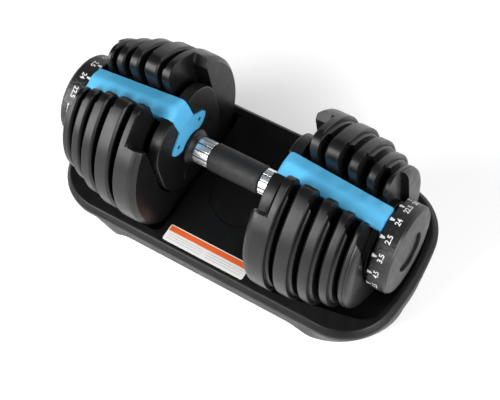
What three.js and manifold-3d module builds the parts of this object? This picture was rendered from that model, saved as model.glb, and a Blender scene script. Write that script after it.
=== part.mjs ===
// Adjustable dumbbell resting in its storage tray.
// Millimetres, +Z up, handle along X; the origin is on the floor under the middle of the tray.
import * as THREE from "three";
import { mergeVertices } from "three/addons/utils/BufferGeometryUtils.js";
import Module from "manifold-3d";

// ---- driving dimensions ----
const AXIS_HEIGHT = 122; // handle axis above the floor
const GAP = 0.3; // clearance between touching pieces

// weight plates, from the middle outwards: inboard face, width, radius, pocket depth
const PLATES = [
  { x: 66, width: 28.5, radius: 100, pocket: 2 },
  { x: 101, width: 20, radius: 97.5, pocket: 4.5 },
  { x: 126.5, width: 15.5, radius: 93, pocket: 4.8 },
  { x: 147, width: 13.5, radius: 86, pocket: 4.5 },
  { x: 165, width: 13.5, radius: 79.5, pocket: 8 },
];
const SLOT_HALF = 17; // half width of the open slot in each plate
const TIP_RADIUS = 14.5; // rounding of the two tips beside the slot
const PLATE_STEP = 5; // the outboard layer of a plate is this much smaller
const PLATE_STEP_WIDTH = 3;
const POCKET_HALF = 43; // half width of the pocket for a selector disc, at its floor
const COVE = 4; // the pocket walls flare out by this much
const HAND_NOTCH_X = 84.5; // inboard face of the first plate above its thick block
const HAND_NOTCH_ANGLE = 41; // from straight up, degrees
const LUG = { inner: 30, half: 5, length: 3, play: 1.1 }; // hooks over the lip of a selector disc

// handle
const GRIP = { half: 31.7, radius: 16, bore: 12.8 };
const TUBE = { radius: 12.5, bore: 7 };
const FERRULE = { end: 60.7, radius: 15, flutes: 12, fluteWidth: 2.2, fluteDepth: 1.3 };
const COLLAR = { x0: 49.6, x1: 58.2, radius: 20.5, nose: 16.6 };
const SHAFT = { radius: 6.5, tail: 0.4 }; // the tail stands out of each end nut

// end housings, brackets and lower ear plates
const HOUSING = { x: 61, width: 13.5, half: 55, top: 66, corner: 38 };
const SHEET = 2.2; // sheet thickness of brackets and ear plates
const EAR_X = 58.5; // inboard face of the ears
const EAR_RING = 21.2; // ears clear the collar by this radius
const EAR_HOLE = 2.7;
const BRACKET = {
  end: 180.4, endZ: 53.5, bendX: 72, bendZ: 71.3, half: 13.8, neck: 13, drop: 4.2, flange: 5, tab: 14,
};
const BRACKET_LEG = { x: 178, half: 15.3, hole: 12.6, width: 2.4 };
const UPPER_EAR = { y: 20, z: 27 };
const LOWER_EAR_TURN = 10; // the lower ears sit closer to the middle, degrees
const SCREW = { head: 2.3, shank: 1.4, x0: 59.1, under: 60.5, x1: 66.5 };
const PLUNGER = { radius: 2.5, z: -27, x0: 67, x1: 75, travel: 1 };

// turning parts
const SLEEVE = { x0: 75.3, x1: 192, corner: 12, flange: 33, flangeWidth: 2, clicks: 15 };
const DISC = { lipInner: 36.5, web: 2.5, stand: 0.7, lip: 4 };
const DIAL = { x0: 181.6, x1: 203.6, radius: 48.6, face: 46.2, nose: 206, recess: 22, recessX: 199 };
const CAP = { x0: 199.3, x1: 203.7 };
const NUT = { corner: 9.4, x0: 192.6, x1: 197.8 };
const SHAFT_HALF = NUT.x1 + SHAFT.tail;

// tray
const TRAY = { half: 214, side: 99.5, corner: 62, bow: 300, top: 62, wall: 3, lip: 14.2, step: 3.6 };
// the skirt's outline at the feet stands in from the lip, with short straight ends (half their length);
// edge is its height between the feet
const SKIRT = { half: TRAY.half - 6, side: TRAY.side - 6.5, straight: 5, edge: 20 };
const FOOT = {
  arch: 34, innerX: SKIRT.half - 70, innerY: SKIRT.side - 45, bottom: 3,
  x: SKIRT.half - 40, y: SKIRT.side - 31,
};
const PAD = { radius: 9, height: 2.7 };
const WELL_PLAY = 4.6; // from the first plate's rim to its well
const WELL = {
  x0: 61, flatTo: 88, radius: PLATES[0].radius + WELL_PLAY, slope: 0.145,
  endX: TRAY.half - 10, endBow: 243, endSlope: 1.35,
};
const FAN = { x: 150, y: 75.2, rise: 0.137, tilt: 0.841 }; // flat flanks at the outer corners of a well
const KEEL_HALF = 28;
const KEEL_END = 174.5;
const GROOVE = { inner: 38.4, outer: 41.4, depth: 1.3 };
const LABEL = { length: 104, width: 20, thickness: 0.5, x: -1, y: -80 };

// ---- geometry helpers ----
const wasm = await Module();
wasm.setup();
const SEGMENTS = 28;
const PLATE_SEGMENTS = 44;
const radians = (a) => (a * Math.PI) / 180;
// shape X, Y become Y, Z and the extrusion runs along X
const ALONG_X = new THREE.Matrix4().makeBasis(
  new THREE.Vector3(0, 1, 0), new THREE.Vector3(0, 0, 1), new THREE.Vector3(1, 0, 0));
// lathe radius stays a radius and lathe height runs along X
const TURNED_X = new THREE.Matrix4().makeBasis(
  new THREE.Vector3(0, 1, 0), new THREE.Vector3(1, 0, 0), new THREE.Vector3(0, 0, -1));
// shape X, Y become X, Z and the extrusion runs along -Y
const ALONG_Y = new THREE.Matrix4().makeBasis(
  new THREE.Vector3(1, 0, 0), new THREE.Vector3(0, 0, 1), new THREE.Vector3(0, -1, 0));

function solid(geometry) {
  const bare = new THREE.BufferGeometry();
  bare.setAttribute("position", geometry.getAttribute("position").clone());
  if (geometry.index) bare.setIndex(geometry.index.clone());
  const merged = mergeVertices(bare, 1e-3);
  const ids = merged.index.array;
  const tris = [];
  for (let i = 0; i < ids.length; i += 3) {
    const [a, b, c] = [ids[i], ids[i + 1], ids[i + 2]];
    if (a !== b && b !== c && a !== c) tris.push(a, b, c);
  }
  return new wasm.Manifold(new wasm.Mesh({
    numProp: 3,
    vertProperties: new Float32Array(merged.getAttribute("position").array),
    triVerts: new Uint32Array(tris),
  }));
}

function surface(body) {
  const mesh = body.getMesh();
  const geometry = new THREE.BufferGeometry();
  geometry.setAttribute("position", new THREE.BufferAttribute(new Float32Array(mesh.vertProperties), 3));
  geometry.setIndex(new THREE.BufferAttribute(new Uint32Array(mesh.triVerts), 1));
  geometry.computeVertexNormals();
  return geometry;
}

const join = (...bodies) => bodies.reduce((a, b) => a.add(b));
const cut = (body, ...tools) => tools.reduce((a, b) => a.subtract(b), body);

// points of an arc, angles in degrees from +Y of the shape towards +X
function arc(cx, cy, r, a0, a1, n) {
  const points = [];
  for (let i = 0; i <= n; i++) {
    const a = radians(a0 + ((a1 - a0) * i) / n);
    points.push([cx + r * Math.sin(a), cy + r * Math.cos(a)]);
  }
  return points;
}

const shapeOf = (points) => new THREE.Shape(points.map(([u, v]) => new THREE.Vector2(u, v)));

const extrude = (shape, depth, options = {}) =>
  new THREE.ExtrudeGeometry(shape, { depth, bevelEnabled: false, curveSegments: 12, ...options });

// a prism along X between x0 and x1 of an outline in (y, z)
const prism = (points, x0, x1) =>
  solid(extrude(shapeOf(points), x1 - x0).applyMatrix4(ALONG_X).translate(x0, 0, 0));

// a prism across the handle between y0 and y1 of an outline in (x, z)
const slab = (points, y0, y1) =>
  solid(extrude(shapeOf(points), y1 - y0).applyMatrix4(ALONG_Y).translate(0, y1, 0));

// a body turned about the handle axis from an outline in (radius, x)
const turned = (points, segments = SEGMENTS) =>
  solid(new THREE.LatheGeometry([...points, points[0]].map(([r, x]) => new THREE.Vector2(r, x)), segments)
    .applyMatrix4(TURNED_X));

const ring = (inner, outer, x0, x1, segments = SEGMENTS) =>
  turned([[inner, x0], [outer, x0], [outer, x1], [inner, x1]], segments);
const rod = (r, x0, x1, y = 0, z = 0, segments = 24) =>
  prism(arc(0, 0, r, 0, 360 - 360 / segments, segments - 1).map(([u, v]) => [u + y, v + z]), x0, x1);
const hexagon = (corner) => arc(0, 0, corner, 0, 300, 5);

// a skin over a row of closed outlines that have the same number of points
function loft(rows) {
  const n = rows[0].length;
  const positions = rows.flat(2);
  const index = [];
  for (let k = 0; k + 1 < rows.length; k++) {
    for (let i = 0; i < n; i++) {
      const j = (i + 1) % n;
      const [a, b, c, d] = [k * n + i, k * n + j, (k + 1) * n + j, (k + 1) * n + i];
      index.push(a, b, c, a, c, d);
    }
  }
  const ends = [[0, -1], [rows.length - 1, 1]];
  for (const [k, side] of ends) {
    const row = rows[k].map((p) => new THREE.Vector3(...p));
    const normal = new THREE.Vector3();
    for (let i = 0; i < n; i++) normal.add(row[i].clone().cross(row[(i + 1) % n]));
    normal.normalize();
    const u = row[1].clone().sub(row[0]).normalize();
    const v = normal.clone().cross(u);
    const flat = row.map((p) => new THREE.Vector2(p.dot(u), p.dot(v)));
    for (const [a, b, c] of THREE.ShapeUtils.triangulateShape(flat, [])) {
      index.push(...(side > 0 ? [a, b, c] : [a, c, b]).map((i) => i + k * n));
    }
  }
  const geometry = new THREE.BufferGeometry();
  geometry.setAttribute("position", new THREE.Float32BufferAttribute(positions, 3));
  geometry.setIndex(index);
  const body = solid(geometry);
  if (body.volume() > 0) return body;
  for (let i = 0; i < index.length; i += 3) [index[i], index[i + 1]] = [index[i + 1], index[i]];
  geometry.setIndex(index);
  return solid(geometry);
}

// ---- materials ----
const material = (color, roughness, metalness) =>
  new THREE.MeshStandardMaterial({ color, roughness, metalness });
const trayBlack = material(0x2b2b2d, 0.7, 0);
const plateBlack = material(0x313133, 0.5, 0);
const dialBlack = material(0x2e2e30, 0.55, 0);
const capGrey = material(0x4a4a4d, 0.45, 0);
const gripBlack = material(0x252527, 0.85, 0);
const bracketBlue = material(0x5cb6e0, 0.45, 0);
const earBlack = material(0x242426, 0.45, 0);
const chrome = material(0xd9dbde, 0.12, 1);
const steel = material(0x9a9c9f, 0.35, 1);
const darkSteel = material(0x3a3b3d, 0.4, 1);
const padRubber = material(0x1b1b1c, 0.9, 0);
const labelWhite = material(0xf2f0ec, 0.55, 0);

const mesh = (name, body, look, x = 0, y = 0, z = 0) => {
  const part = new THREE.Mesh(surface(body), look);
  part.name = name;
  part.position.set(x, y, z);
  return part;
};

// ---- weight plates ----
const uOutline = (half, top = 130) => [[half, top], ...arc(0, 0, half, 90, 270, 14), [-half, top]];

// everything above the two rounded tips and between them
function tipCut(radius) {
  const r = TIP_RADIUS;
  const y = SLOT_HALF + r;
  const z = Math.sqrt((radius - r) ** 2 - y ** 2);
  const lean = (Math.atan2(y, z) * 180) / Math.PI;
  const side = [...arc(y, z, r, -90, lean, 6), arc(0, 0, radius + 9, lean, lean, 1)[0]];
  const mirrored = side.map(([a, b]) => [-a, b]).reverse();
  return [[SLOT_HALF, 0], ...side, [0, radius + 60], ...mirrored, [-SLOT_HALF, 0],
    ...arc(0, 0, SLOT_HALF, 270, 90, 8).slice(1, -1)];
}

// a pocket with coved walls, open at the top, sunk from the outboard face
function pocket(half, floor, face) {
  const outline = shapeOf(uOutline(half));
  const tool = extrude(outline, 0.02, {
    bevelEnabled: true, bevelThickness: face - floor, bevelSize: COVE, bevelSegments: 2,
  });
  return solid(tool.applyMatrix4(ALONG_X).translate(face, 0, 0));
}

function plateBody(index) {
  const { width, radius, pocket: depth } = PLATES[index];
  const step = radius - PLATE_STEP;
  const floor = width - depth;
  const rim = index === 0
    ? [[0, 0], [radius - 6, 0], [radius - 1.6, 3.8], [radius, 5.2]]
    : [[0, 0], [radius - 1.8, 0], [radius, 1.8]];
  const profile = index === PLATES.length - 1
    ? [[0, 0], [radius - 2, 0], [radius, 2], [radius, 7.5], [radius - 2, 10.8], [radius - 6, 12.8],
      [radius - 13, width], [0, width]]
    : [...rim, [radius, width - PLATE_STEP_WIDTH], [step, width - PLATE_STEP_WIDTH], [step, width],
      [0, width]];
  let body = cut(turned(profile, PLATE_SEGMENTS), pocket(POCKET_HALF, floor, width));
  if (index === 0) {
    // thick lower block: its inboard half stops at the notch and wraps round the end housing
    const notch = HAND_NOTCH_X - PLATES[0].x;
    const reach = 150;
    const lean = radians(HAND_NOTCH_ANGLE);
    const wedge = [[0, 0], [reach * Math.sin(lean), reach * Math.cos(lean)], [0, reach * 1.5],
      [-reach * Math.sin(lean), reach * Math.cos(lean)]];
    body = cut(body, prism(wedge, -1, notch), prism(uOutline(HOUSING.half + 2.5, 100), -1, notch));
    // the upper part's inboard rim is bevelled too
    const bevel = 1.5;
    body = cut(body, turned([[radius - bevel - 1, notch - 1], [radius + 2, notch - 1],
      [radius + 2, notch + bevel + 2]], PLATE_SEGMENTS)
      .intersect(prism([[0, 0], [90, 103.5], [0, 140], [-90, 103.5]], notch - 2, width)));
  }
  const outer = DISC.lipInner - LUG.play;
  const hook = [[-LUG.half, -outer], [LUG.half, -outer], [LUG.half, -LUG.inner], [-LUG.half, -LUG.inner]];
  const lug = prism(hook, floor - 0.5, floor + LUG.length);
  return join(cut(body, prism(tipCut(radius), -1, width + 1)), lug);
}

// ---- selector parts ----
function discBody(index) {
  const { width, pocket: depth } = PLATES[index];
  const lip = width - depth + DISC.stand;
  const web = lip + DISC.lip;
  const radius = POCKET_HALF - GAP;
  const disc = turned([[11, web], [DISC.lipInner, web], [DISC.lipInner, lip], [radius, lip],
    [radius, web + DISC.web], [11, web + DISC.web]], 24);
  // the lip is cut away where this plate is left behind; each disc has its own arcs
  const from = 35 + 14 * index;
  const sector = [[0, 0], ...arc(0, 0, 60, from, from + 96, 3)];
  const bore = prism(hexagon(SLEEVE.corner + GAP), lip - 1, web + 9);
  return cut(disc, prism(sector, lip - 1, web - 0.01), bore);
}

function sleeveBody() {
  const clicks = [];
  for (let i = 0; i < SLEEVE.clicks; i++) {
    const a = radians(180 + (360 * i) / SLEEVE.clicks);
    const [y, z] = [-PLUNGER.z * Math.sin(a), -PLUNGER.z * Math.cos(a)];
    clicks.push(rod(1.3, SLEEVE.x0 - 1, SLEEVE.x0 + 9, y, z, 4));
  }
  const flange = cut(rod(SLEEVE.flange, SLEEVE.x0, SLEEVE.x0 + SLEEVE.flangeWidth, 0, 0, 30), ...clicks);
  const stem = prism(hexagon(SLEEVE.corner), SLEEVE.x0, SLEEVE.x1);
  return cut(join(flange, stem), rod(SHAFT.radius + GAP, SLEEVE.x0 - 1, SLEEVE.x1 + 1));
}

function dialBody() {
  const d = DIAL;
  const body = turned([
    [8, d.x0], [17, d.x0], [17, d.x0 + 9], [43, d.x0 + 9], [45, d.x0], [d.radius, d.x0],
    [d.radius, d.x1 - 3.4], [d.face, d.x1], [d.recess, d.nose], [d.recess, d.recessX],
    [NUT.corner + 1.2, d.recessX], [NUT.corner + 1.2, SLEEVE.x1 + GAP], [8, SLEEVE.x1 + GAP],
  ], 40);
  return cut(body, prism(hexagon(SLEEVE.corner + GAP), d.x0 - 1, SLEEVE.x1 + 1));
}

// ---- end housing, bracket, ears ----
function earOutline(turn) {
  // half outline of one ear, from the neck out to the tip and back to the ring
  const ear = [[14.2, 42.5], [18.5, 38.6], [23.6, 35.2], [28.5, 31.6], [31.4, 27.2], [31, 24.4],
    [28.6, 20.6], [24, 17.4], [19, 15.6], [15.6, 15.2]];
  const a = radians(turn);
  return ear.map(([y, z]) => [y * Math.cos(a) - z * Math.sin(a), y * Math.sin(a) + z * Math.cos(a)]);
}

function earHole(turn) {
  const a = radians(turn);
  const { y, z } = UPPER_EAR;
  return [y * Math.cos(a) - z * Math.sin(a), y * Math.sin(a) + z * Math.cos(a)];
}

function earPlate(neckHalf, top, turn) {
  const ear = earOutline(turn);
  const [ey, ez] = ear[ear.length - 1];
  const end = (Math.atan2(ey, ez) * 180) / Math.PI;
  const half = [[neckHalf, top], ...ear];
  const mirrored = half.map(([y, z]) => [-y, z]).reverse();
  const outline = [...half, ...arc(0, 0, EAR_RING, end, -end, 16), ...mirrored];
  const [hy, hz] = earHole(turn);
  const holes = [1, -1].map((side) => rod(EAR_HOLE, EAR_X - 1, EAR_X + SHEET + 1, side * hy, hz, 16));
  return cut(prism(outline, EAR_X, EAR_X + SHEET), ...holes);
}

// closed roof-shaped section: ridge at (x, z), the sheet thickness measured along the normal (nx, nz)
function roofSection(x, z, nx, nz, half, drop, t = SHEET) {
  const at = (y, d) => [x + nx * d, y, z + nz * d];
  const h = half;
  return [at(-h, -drop), at(0, 0), at(h, -drop), at(h, -drop - t), at(0, -t), at(-h, -drop - t)];
}

function bracketBody() {
  const b = BRACKET;
  const run = new THREE.Vector2(b.endZ - b.bendZ, b.bendX - b.end).normalize().negate();
  const [nx, nz] = [Math.abs(run.x), Math.abs(run.y)];
  const sheet = loft([
    roofSection(b.end, b.endZ, nx, nz, b.half, b.drop),
    roofSection(b.bendX, b.bendZ, nx, nz, b.half, b.drop),
    roofSection(67.2, 70.6, -0.3, 0.954, b.half, b.drop * 0.8),
    roofSection(63.4, 66.6, -0.78, 0.626, b.half, b.drop * 0.35),
    roofSection(61.4, 60.5, -0.96, 0.28, b.half - 0.3, 0.3),
    roofSection(EAR_X, 47, -0.985, 0.174, b.neck, 0),
    roofSection(EAR_X, 42.6, -1, 0, b.neck, 0),
  ]);
  const slope = (b.endZ - b.bendZ) / (b.end - b.bendX);
  const edge = (x) => b.bendZ + slope * (x - b.bendX) - b.drop;
  const fold = [[77, 1], [77, b.tab], [87, b.tab], [89, b.flange], [b.end - 3, b.flange], [b.end - 1, 1]]
    .map(([x, deep]) => [x, edge(x) - deep]);
  const flanges = [slab(fold, b.half - SHEET, b.half), slab(fold, -b.half, SHEET - b.half)];
  const { x, half, hole, width } = BRACKET_LEG;
  const leg = cut(prism([[b.neck, 50], ...arc(0, 0, half, 90, 270, 8), [-b.neck, 50]], x, x + width),
    rod(hole, x - 1, x + width + 1));
  return join(sheet, ...flanges, leg, earPlate(b.neck, 43.5, 0));
}

function housingBody() {
  const h = HOUSING;
  const c = h.corner;
  const outline = [...arc(0, 0, h.half, 90, 270, 20), ...arc(-h.half + c, h.top - c, c, 270, 360, 7),
    ...arc(h.half - c, h.top - c, c, 0, 90, 7)];
  const bevel = 1.6;
  const body = solid(extrude(shapeOf(outline), h.width - 2 * bevel, {
    bevelEnabled: true, bevelThickness: bevel, bevelSize: bevel, bevelOffset: -bevel, bevelSegments: 1,
  }).applyMatrix4(ALONG_X).translate(h.x + bevel, 0, 0));
  // seat for the bend of the bracket
  const inner = EAR_X + SHEET + GAP;
  const half = BRACKET.half + 2 * GAP;
  const seat = slab([[50, 90], [50, 40], [inner, 40], [inner, 46], [64.3, 59.4], [66.8, 63.6], [69, 64.7],
    [80, 64.2], [80, 90]], -half, half);
  const back = h.x + h.width + 1;
  const plungerHole = rod(PLUNGER.radius + GAP, PLUNGER.x0 - PLUNGER.travel - GAP, back, 0, PLUNGER.z, 12);
  const screwHoles = screwPlaces().map(([y, z]) => rod(SCREW.shank + GAP, h.x - 1, SCREW.x1 + 0.5, y, z, 12));
  return cut(body, seat, rod(SHAFT.radius + GAP, h.x - 1, back), plungerHole, ...screwHoles);
}

function screwPlaces() {
  const [lowY, lowZ] = earHole(LOWER_EAR_TURN);
  const { y, z } = UPPER_EAR;
  return [[-y, z], [y, z], [-lowY, -lowZ], [lowY, -lowZ]];
}

function lowerEarBody() {
  // the same ears upside down, joined by a short neck
  return earPlate(6, 44.5, LOWER_EAR_TURN).mirror([0, 0, 1]);
}

function ferruleBody() {
  const outline = [];
  const { radius, flutes, fluteWidth, fluteDepth } = FERRULE;
  const halfAngle = (fluteWidth / 2 / radius) * (180 / Math.PI);
  for (let i = 0; i < flutes; i++) {
    const a = (360 * i) / flutes;
    outline.push(...arc(0, 0, radius - fluteDepth, a - halfAngle, a + halfAngle, 1));
    outline.push(...arc(0, 0, radius, a + halfAngle + 0.4, a + 360 / flutes - halfAngle - 0.4, 2));
  }
  return cut(prism(outline, GRIP.half + GAP, FERRULE.end), rod(TUBE.radius + GAP, 0, 99));
}

// ---- tray ----
// plan outline with straight sides, round corners and bowed ends
function trayOutline(half, side, corner, z, bow = TRAY.bow) {
  const cy = side - corner;
  const cx = half - bow + Math.sqrt((bow - corner) ** 2 - cy ** 2);
  const lean = (Math.asin(cy / (bow - corner)) * 180) / Math.PI;
  const points = [];
  for (const turn of [0, 180]) {
    const sign = turn ? -1 : 1;
    points.push(...arc(sign * cx, sign * cy, corner, turn, turn + 90 - lean, 7));
    points.push(...arc(sign * (half - bow), 0, bow, turn + 90 - lean, turn + 90 + lean, 4).slice(1, -1));
    points.push(...arc(sign * cx, -sign * cy, corner, turn + 90 + lean, turn + 180, 7));
  }
  return points.map(([x, y]) => [x, y, z]);
}

function trayBody() {
  const { half, side, corner, bow, top, wall, lip, step } = TRAY;
  const inset = (d, z) => trayOutline(half - d, side - d, corner - d, z, bow - d);
  const foot = (d, z) =>
    trayOutline(SKIRT.half - d, SKIRT.side - d, SKIRT.side - SKIRT.straight - d, z, bow - d);
  const outside = loft([foot(0, FOOT.bottom), inset(step, top - lip), inset(0.9, top - lip + 1),
    inset(0, top - 8), inset(0.9, top - 4.5), inset(5, top)]);
  const hollowOutside = loft([foot(wall, FOOT.bottom - 1), inset(wall + step, top - lip),
    inset(wall + 1.4, top - 11), inset(wall + 5, top - wall)]);
  const toFloor = (body) => body.translate([0, 0, AXIS_HEIGHT]);
  const ends = (body) => [body, body.mirror([1, 0, 0])];
  // conical trough about the handle axis with a bowed, sloping end
  const trough = (grow) => {
    const w = WELL;
    const last = w.endX + 3;
    const r = (x) => w.radius - w.slope * (x - w.flatTo) + grow;
    const cone = turned([[0, w.x0 - grow], [w.radius + grow, w.x0 - grow], [w.radius + grow, w.flatTo],
      [r(last), last], [0, last]], 48);
    const deep = 50;
    const bowed = new THREE.CylinderGeometry(
      w.endBow + grow + w.endSlope, w.endBow + grow - deep * w.endSlope, deep + 1, 120);
    const middle = top - AXIS_HEIGHT + (1 - deep) / 2;
    const end = solid(bowed.rotateX(Math.PI / 2).translate(w.endX - w.endBow, 0, middle));
    // solid below a plane that rises outwards and towards the end
    const flank = (side) => {
      const level = (x, y) =>
        top - AXIS_HEIGHT + FAN.rise * (x - FAN.x) + FAN.tilt * (y - FAN.y) - 1.3 * grow;
      const row = (x) => [[x, side * 8, -130], [x, side * 8, level(x, 8)], [x, side * 100, level(x, 100)],
        [x, side * 100, -130]];
      return loft([row(FAN.x + grow), row(last + 9)]);
    };
    return toFloor(cut(cone.intersect(end), flank(1), flank(-1)));
  };
  // keel that carries the plates, cradled to their rims, with dividers between them
  const keel = () => {
    const under = (x) => WELL.slope * (Math.max(x, WELL.flatTo) - WELL.flatTo) - WELL.radius - wall / 2;
    const side = [[WELL.x0 - 2, under(0)], [WELL.x0 - 2, -86], [125, -86], [144, -78], [162, -70],
      [164.5, -70], [164.5, -76], [KEEL_END, -76], [KEEL_END, under(KEEL_END)], [WELL.flatTo, under(0)]];
    const base = slab(side, -KEEL_HALF, KEEL_HALF);
    const seats = PLATES.map(({ x, width, radius }) =>
      rod(radius + GAP, x - 0.5, Math.min(x + width, KEEL_END) + 0.5, 0, 0, 64));
    return toFloor(cut(base, ...seats));
  };
  const posts = [];
  for (const sx of [1, -1]) {
    for (const sy of [1, -1]) {
      posts.push(solid(new THREE.CylinderGeometry(PAD.radius + 2, PAD.radius + 2, 40, 20)
        .rotateX(Math.PI / 2).translate(sx * FOOT.x, sy * FOOT.y, FOOT.bottom + 20)));
    }
  }
  const hollow = cut(hollowOutside, ...ends(trough(wall)), ...posts);
  let body = join(cut(outside, hollow, ...ends(trough(0))), ...ends(keel()));
  // skirt is cut back between the feet, with an S-curve down to each foot
  const arch = (inner) => {
    const rise = SKIRT.edge - FOOT.bottom;
    const curve = [0, 1, 2, 3, 4, 5, 6].map((k) =>
      [inner - (FOOT.arch * k) / 6, FOOT.bottom + (rise * (1 - Math.cos((Math.PI * k) / 6))) / 2]);
    return [[-inner, -5], [inner, -5], ...curve, ...curve.map(([u, v]) => [-u, v]).reverse()];
  };
  const beyond = TRAY.half + 20;
  const front = slab(arch(FOOT.innerX), -beyond, beyond);
  const end = prism(arch(FOOT.innerY), -beyond, beyond);
  const between = slab([[-beyond, -9], [beyond, -9], [beyond, 40], [-beyond, 40]],
    9 - SKIRT.side, SKIRT.side - 9);
  const core = prism([[-70, -9], [70, -9], [70, 60], [-70, 60]], 20 - SKIRT.half, SKIRT.half - 20);
  body = cut(body, cut(front, between), cut(end, core));
  // round groove in the plateau and bevels beside the wells
  const groove = ring(GROOVE.inner, GROOVE.outer, top - GROOVE.depth, top + 5, 40).rotate([0, -90, 0]);
  const bevel = slab([[WELL.x0 - 5, top + 1], [WELL.x0 - 5, top], [WELL.x0, top - 1.6],
    [WELL.x0 + 9, top - 1.6], [WELL.x0 + 9, top + 1]], -86, 86);
  return cut(body, groove, ...ends(bevel));
}

// ---- assembly ----
const object = new THREE.Group();
object.add(mesh("tray", trayBody(), trayBlack));
object.add(mesh("label_sticker", solid(new THREE.BoxGeometry(LABEL.length, LABEL.width, LABEL.thickness)),
  labelWhite, LABEL.x, LABEL.y, TRAY.top + GAP + LABEL.thickness / 2));
for (const [side, sx] of [["right", 1], ["left", -1]]) {
  for (const [row, sy] of [["front", -1], ["rear", 1]]) {
    const pad = new THREE.CylinderGeometry(PAD.radius, PAD.radius - 1, PAD.height, 16).rotateX(Math.PI / 2);
    const name = `foot_pad_${row}_${side}`;
    object.add(mesh(name, solid(pad), padRubber, sx * FOOT.x, sy * FOOT.y, PAD.height / 2));
  }
}

const dumbbell = new THREE.Group();
dumbbell.position.z = AXIS_HEIGHT;
object.add(dumbbell);
const edge = GRIP.radius - 1.6;
const along = GRIP.half - 1.6;
dumbbell.add(mesh("grip", turned([[GRIP.bore, -GRIP.half], [edge, -GRIP.half], [GRIP.radius, -along],
  [GRIP.radius, along], [edge, GRIP.half], [GRIP.bore, GRIP.half]]), gripBlack));
dumbbell.add(mesh("handle_tube", ring(TUBE.bore, TUBE.radius, -FERRULE.end, FERRULE.end), steel));
dumbbell.add(mesh("centre_shaft", rod(SHAFT.radius, -SHAFT_HALF, SHAFT_HALF), steel));

// one end is modelled; the other is the same parts turned half round the vertical
const plunger = turned([[0, PLUNGER.x0], [PLUNGER.radius, PLUNGER.x0], [PLUNGER.radius, PLUNGER.x1 - 1.2],
  [PLUNGER.radius / 2, PLUNGER.x1], [0, PLUNGER.x1]], 12).translate([0, 0, PLUNGER.z]);
const nutBore = rod(SHAFT.radius + GAP, NUT.x0 - 1, NUT.x1 + 1);
const parts = [
  ["ferrule", ferruleBody(), chrome],
  ["collar", turned([[FERRULE.radius + GAP, COLLAR.x0], [COLLAR.nose, COLLAR.x0],
    [COLLAR.radius, COLLAR.x0 + 5.2], [COLLAR.radius, COLLAR.x1],
    [FERRULE.radius + GAP, COLLAR.x1]]), earBlack],
  ["bracket", bracketBody(), bracketBlue],
  ["lower_ears", lowerEarBody(), earBlack],
  ["end_housing", housingBody(), earBlack],
  ["detent_plunger", plunger, steel],
  ["hub_sleeve", sleeveBody(), darkSteel],
  ["dial", dialBody(), dialBlack],
  ["dial_cap", rod(DIAL.recess - GAP, CAP.x0, CAP.x1, 0, 0, 40), capGrey],
  ["end_nut", cut(prism(hexagon(NUT.corner), NUT.x0, NUT.x1), nutBore), steel],
];
const { head, shank, x0, under, x1 } = SCREW;
const screw = turned([[0, x0], [head, x0], [head, under], [shank, under], [shank, x1], [0, x1]], 12);
for (const [side, turn] of [["right", 0], ["left", Math.PI]]) {
  const end = new THREE.Group();
  end.rotation.z = turn;
  dumbbell.add(end);
  for (const [name, body, look] of parts) end.add(mesh(`${name}_${side}`, body, look));
  screwPlaces().forEach(([y, z], i) => {
    end.add(mesh(`ear_screw_${side}_${i + 1}`, screw, darkSteel, 0, y, z));
  });
  PLATES.forEach((plate, i) => {
    end.add(mesh(`plate_${side}_${i + 1}`, plateBody(i), plateBlack, plate.x));
    end.add(mesh(`selector_disc_${side}_${i + 1}`, discBody(i), darkSteel, plate.x));
  });
}

export default object;
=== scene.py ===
import math

import bmesh
import bpy
from mathutils import Matrix, Vector, geometry


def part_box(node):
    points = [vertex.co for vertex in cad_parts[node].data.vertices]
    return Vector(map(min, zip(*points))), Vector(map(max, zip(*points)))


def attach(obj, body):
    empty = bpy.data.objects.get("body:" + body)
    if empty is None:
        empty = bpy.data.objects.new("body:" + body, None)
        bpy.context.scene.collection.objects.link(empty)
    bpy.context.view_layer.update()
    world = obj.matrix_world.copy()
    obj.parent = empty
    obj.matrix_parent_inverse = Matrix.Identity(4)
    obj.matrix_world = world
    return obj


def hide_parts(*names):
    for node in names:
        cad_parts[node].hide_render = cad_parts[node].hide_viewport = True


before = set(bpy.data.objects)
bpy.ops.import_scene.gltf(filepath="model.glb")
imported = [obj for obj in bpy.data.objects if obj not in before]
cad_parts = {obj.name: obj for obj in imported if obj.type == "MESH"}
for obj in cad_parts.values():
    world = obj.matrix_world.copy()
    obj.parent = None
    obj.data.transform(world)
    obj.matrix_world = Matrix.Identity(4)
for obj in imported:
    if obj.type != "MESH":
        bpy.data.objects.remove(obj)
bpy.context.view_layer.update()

bl_info = {
    "name": "Adjustable dumbbell in its tray",
    "version": (1, 0, 0),
    "blender": (4, 5, 0),
    "location": "3D View > Sidebar > Dumbbell",
    "description": "Builds the plates, dials, handle, brackets and tray round the packed frame",
    "category": "Add Mesh",
}

MM = 0.001
SIDES = (("right", 0.0), ("left", math.pi))  # the left end is the right one turned half round


def corners(node):
    """Lowest and highest corner of a CAD node in millimetres."""
    low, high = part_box(node)
    return low / MM, high / MM


def span(node):
    """Where a CAD node of the right end starts and stops along the handle."""
    low, high = corners(node)
    return low.x, high.x


def sizes():
    return bpy.context.scene.dumbbell_sizes


def reach(node):
    """Half the width of a CAD node across the handle."""
    low, high = corners(node)
    return (high.y - low.y) / 2


def extent(node):
    """Where a round CAD node of the right end starts and stops, and its radius."""
    return (*span(node), reach(node))


GRIP_LOW, GRIP_HIGH = corners("grip")
AXIS = (GRIP_LOW.z + GRIP_HIGH.z) / 2  # height of the handle axis over the floor
TRAY_LOW, TRAY_HIGH = corners("tray")

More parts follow.
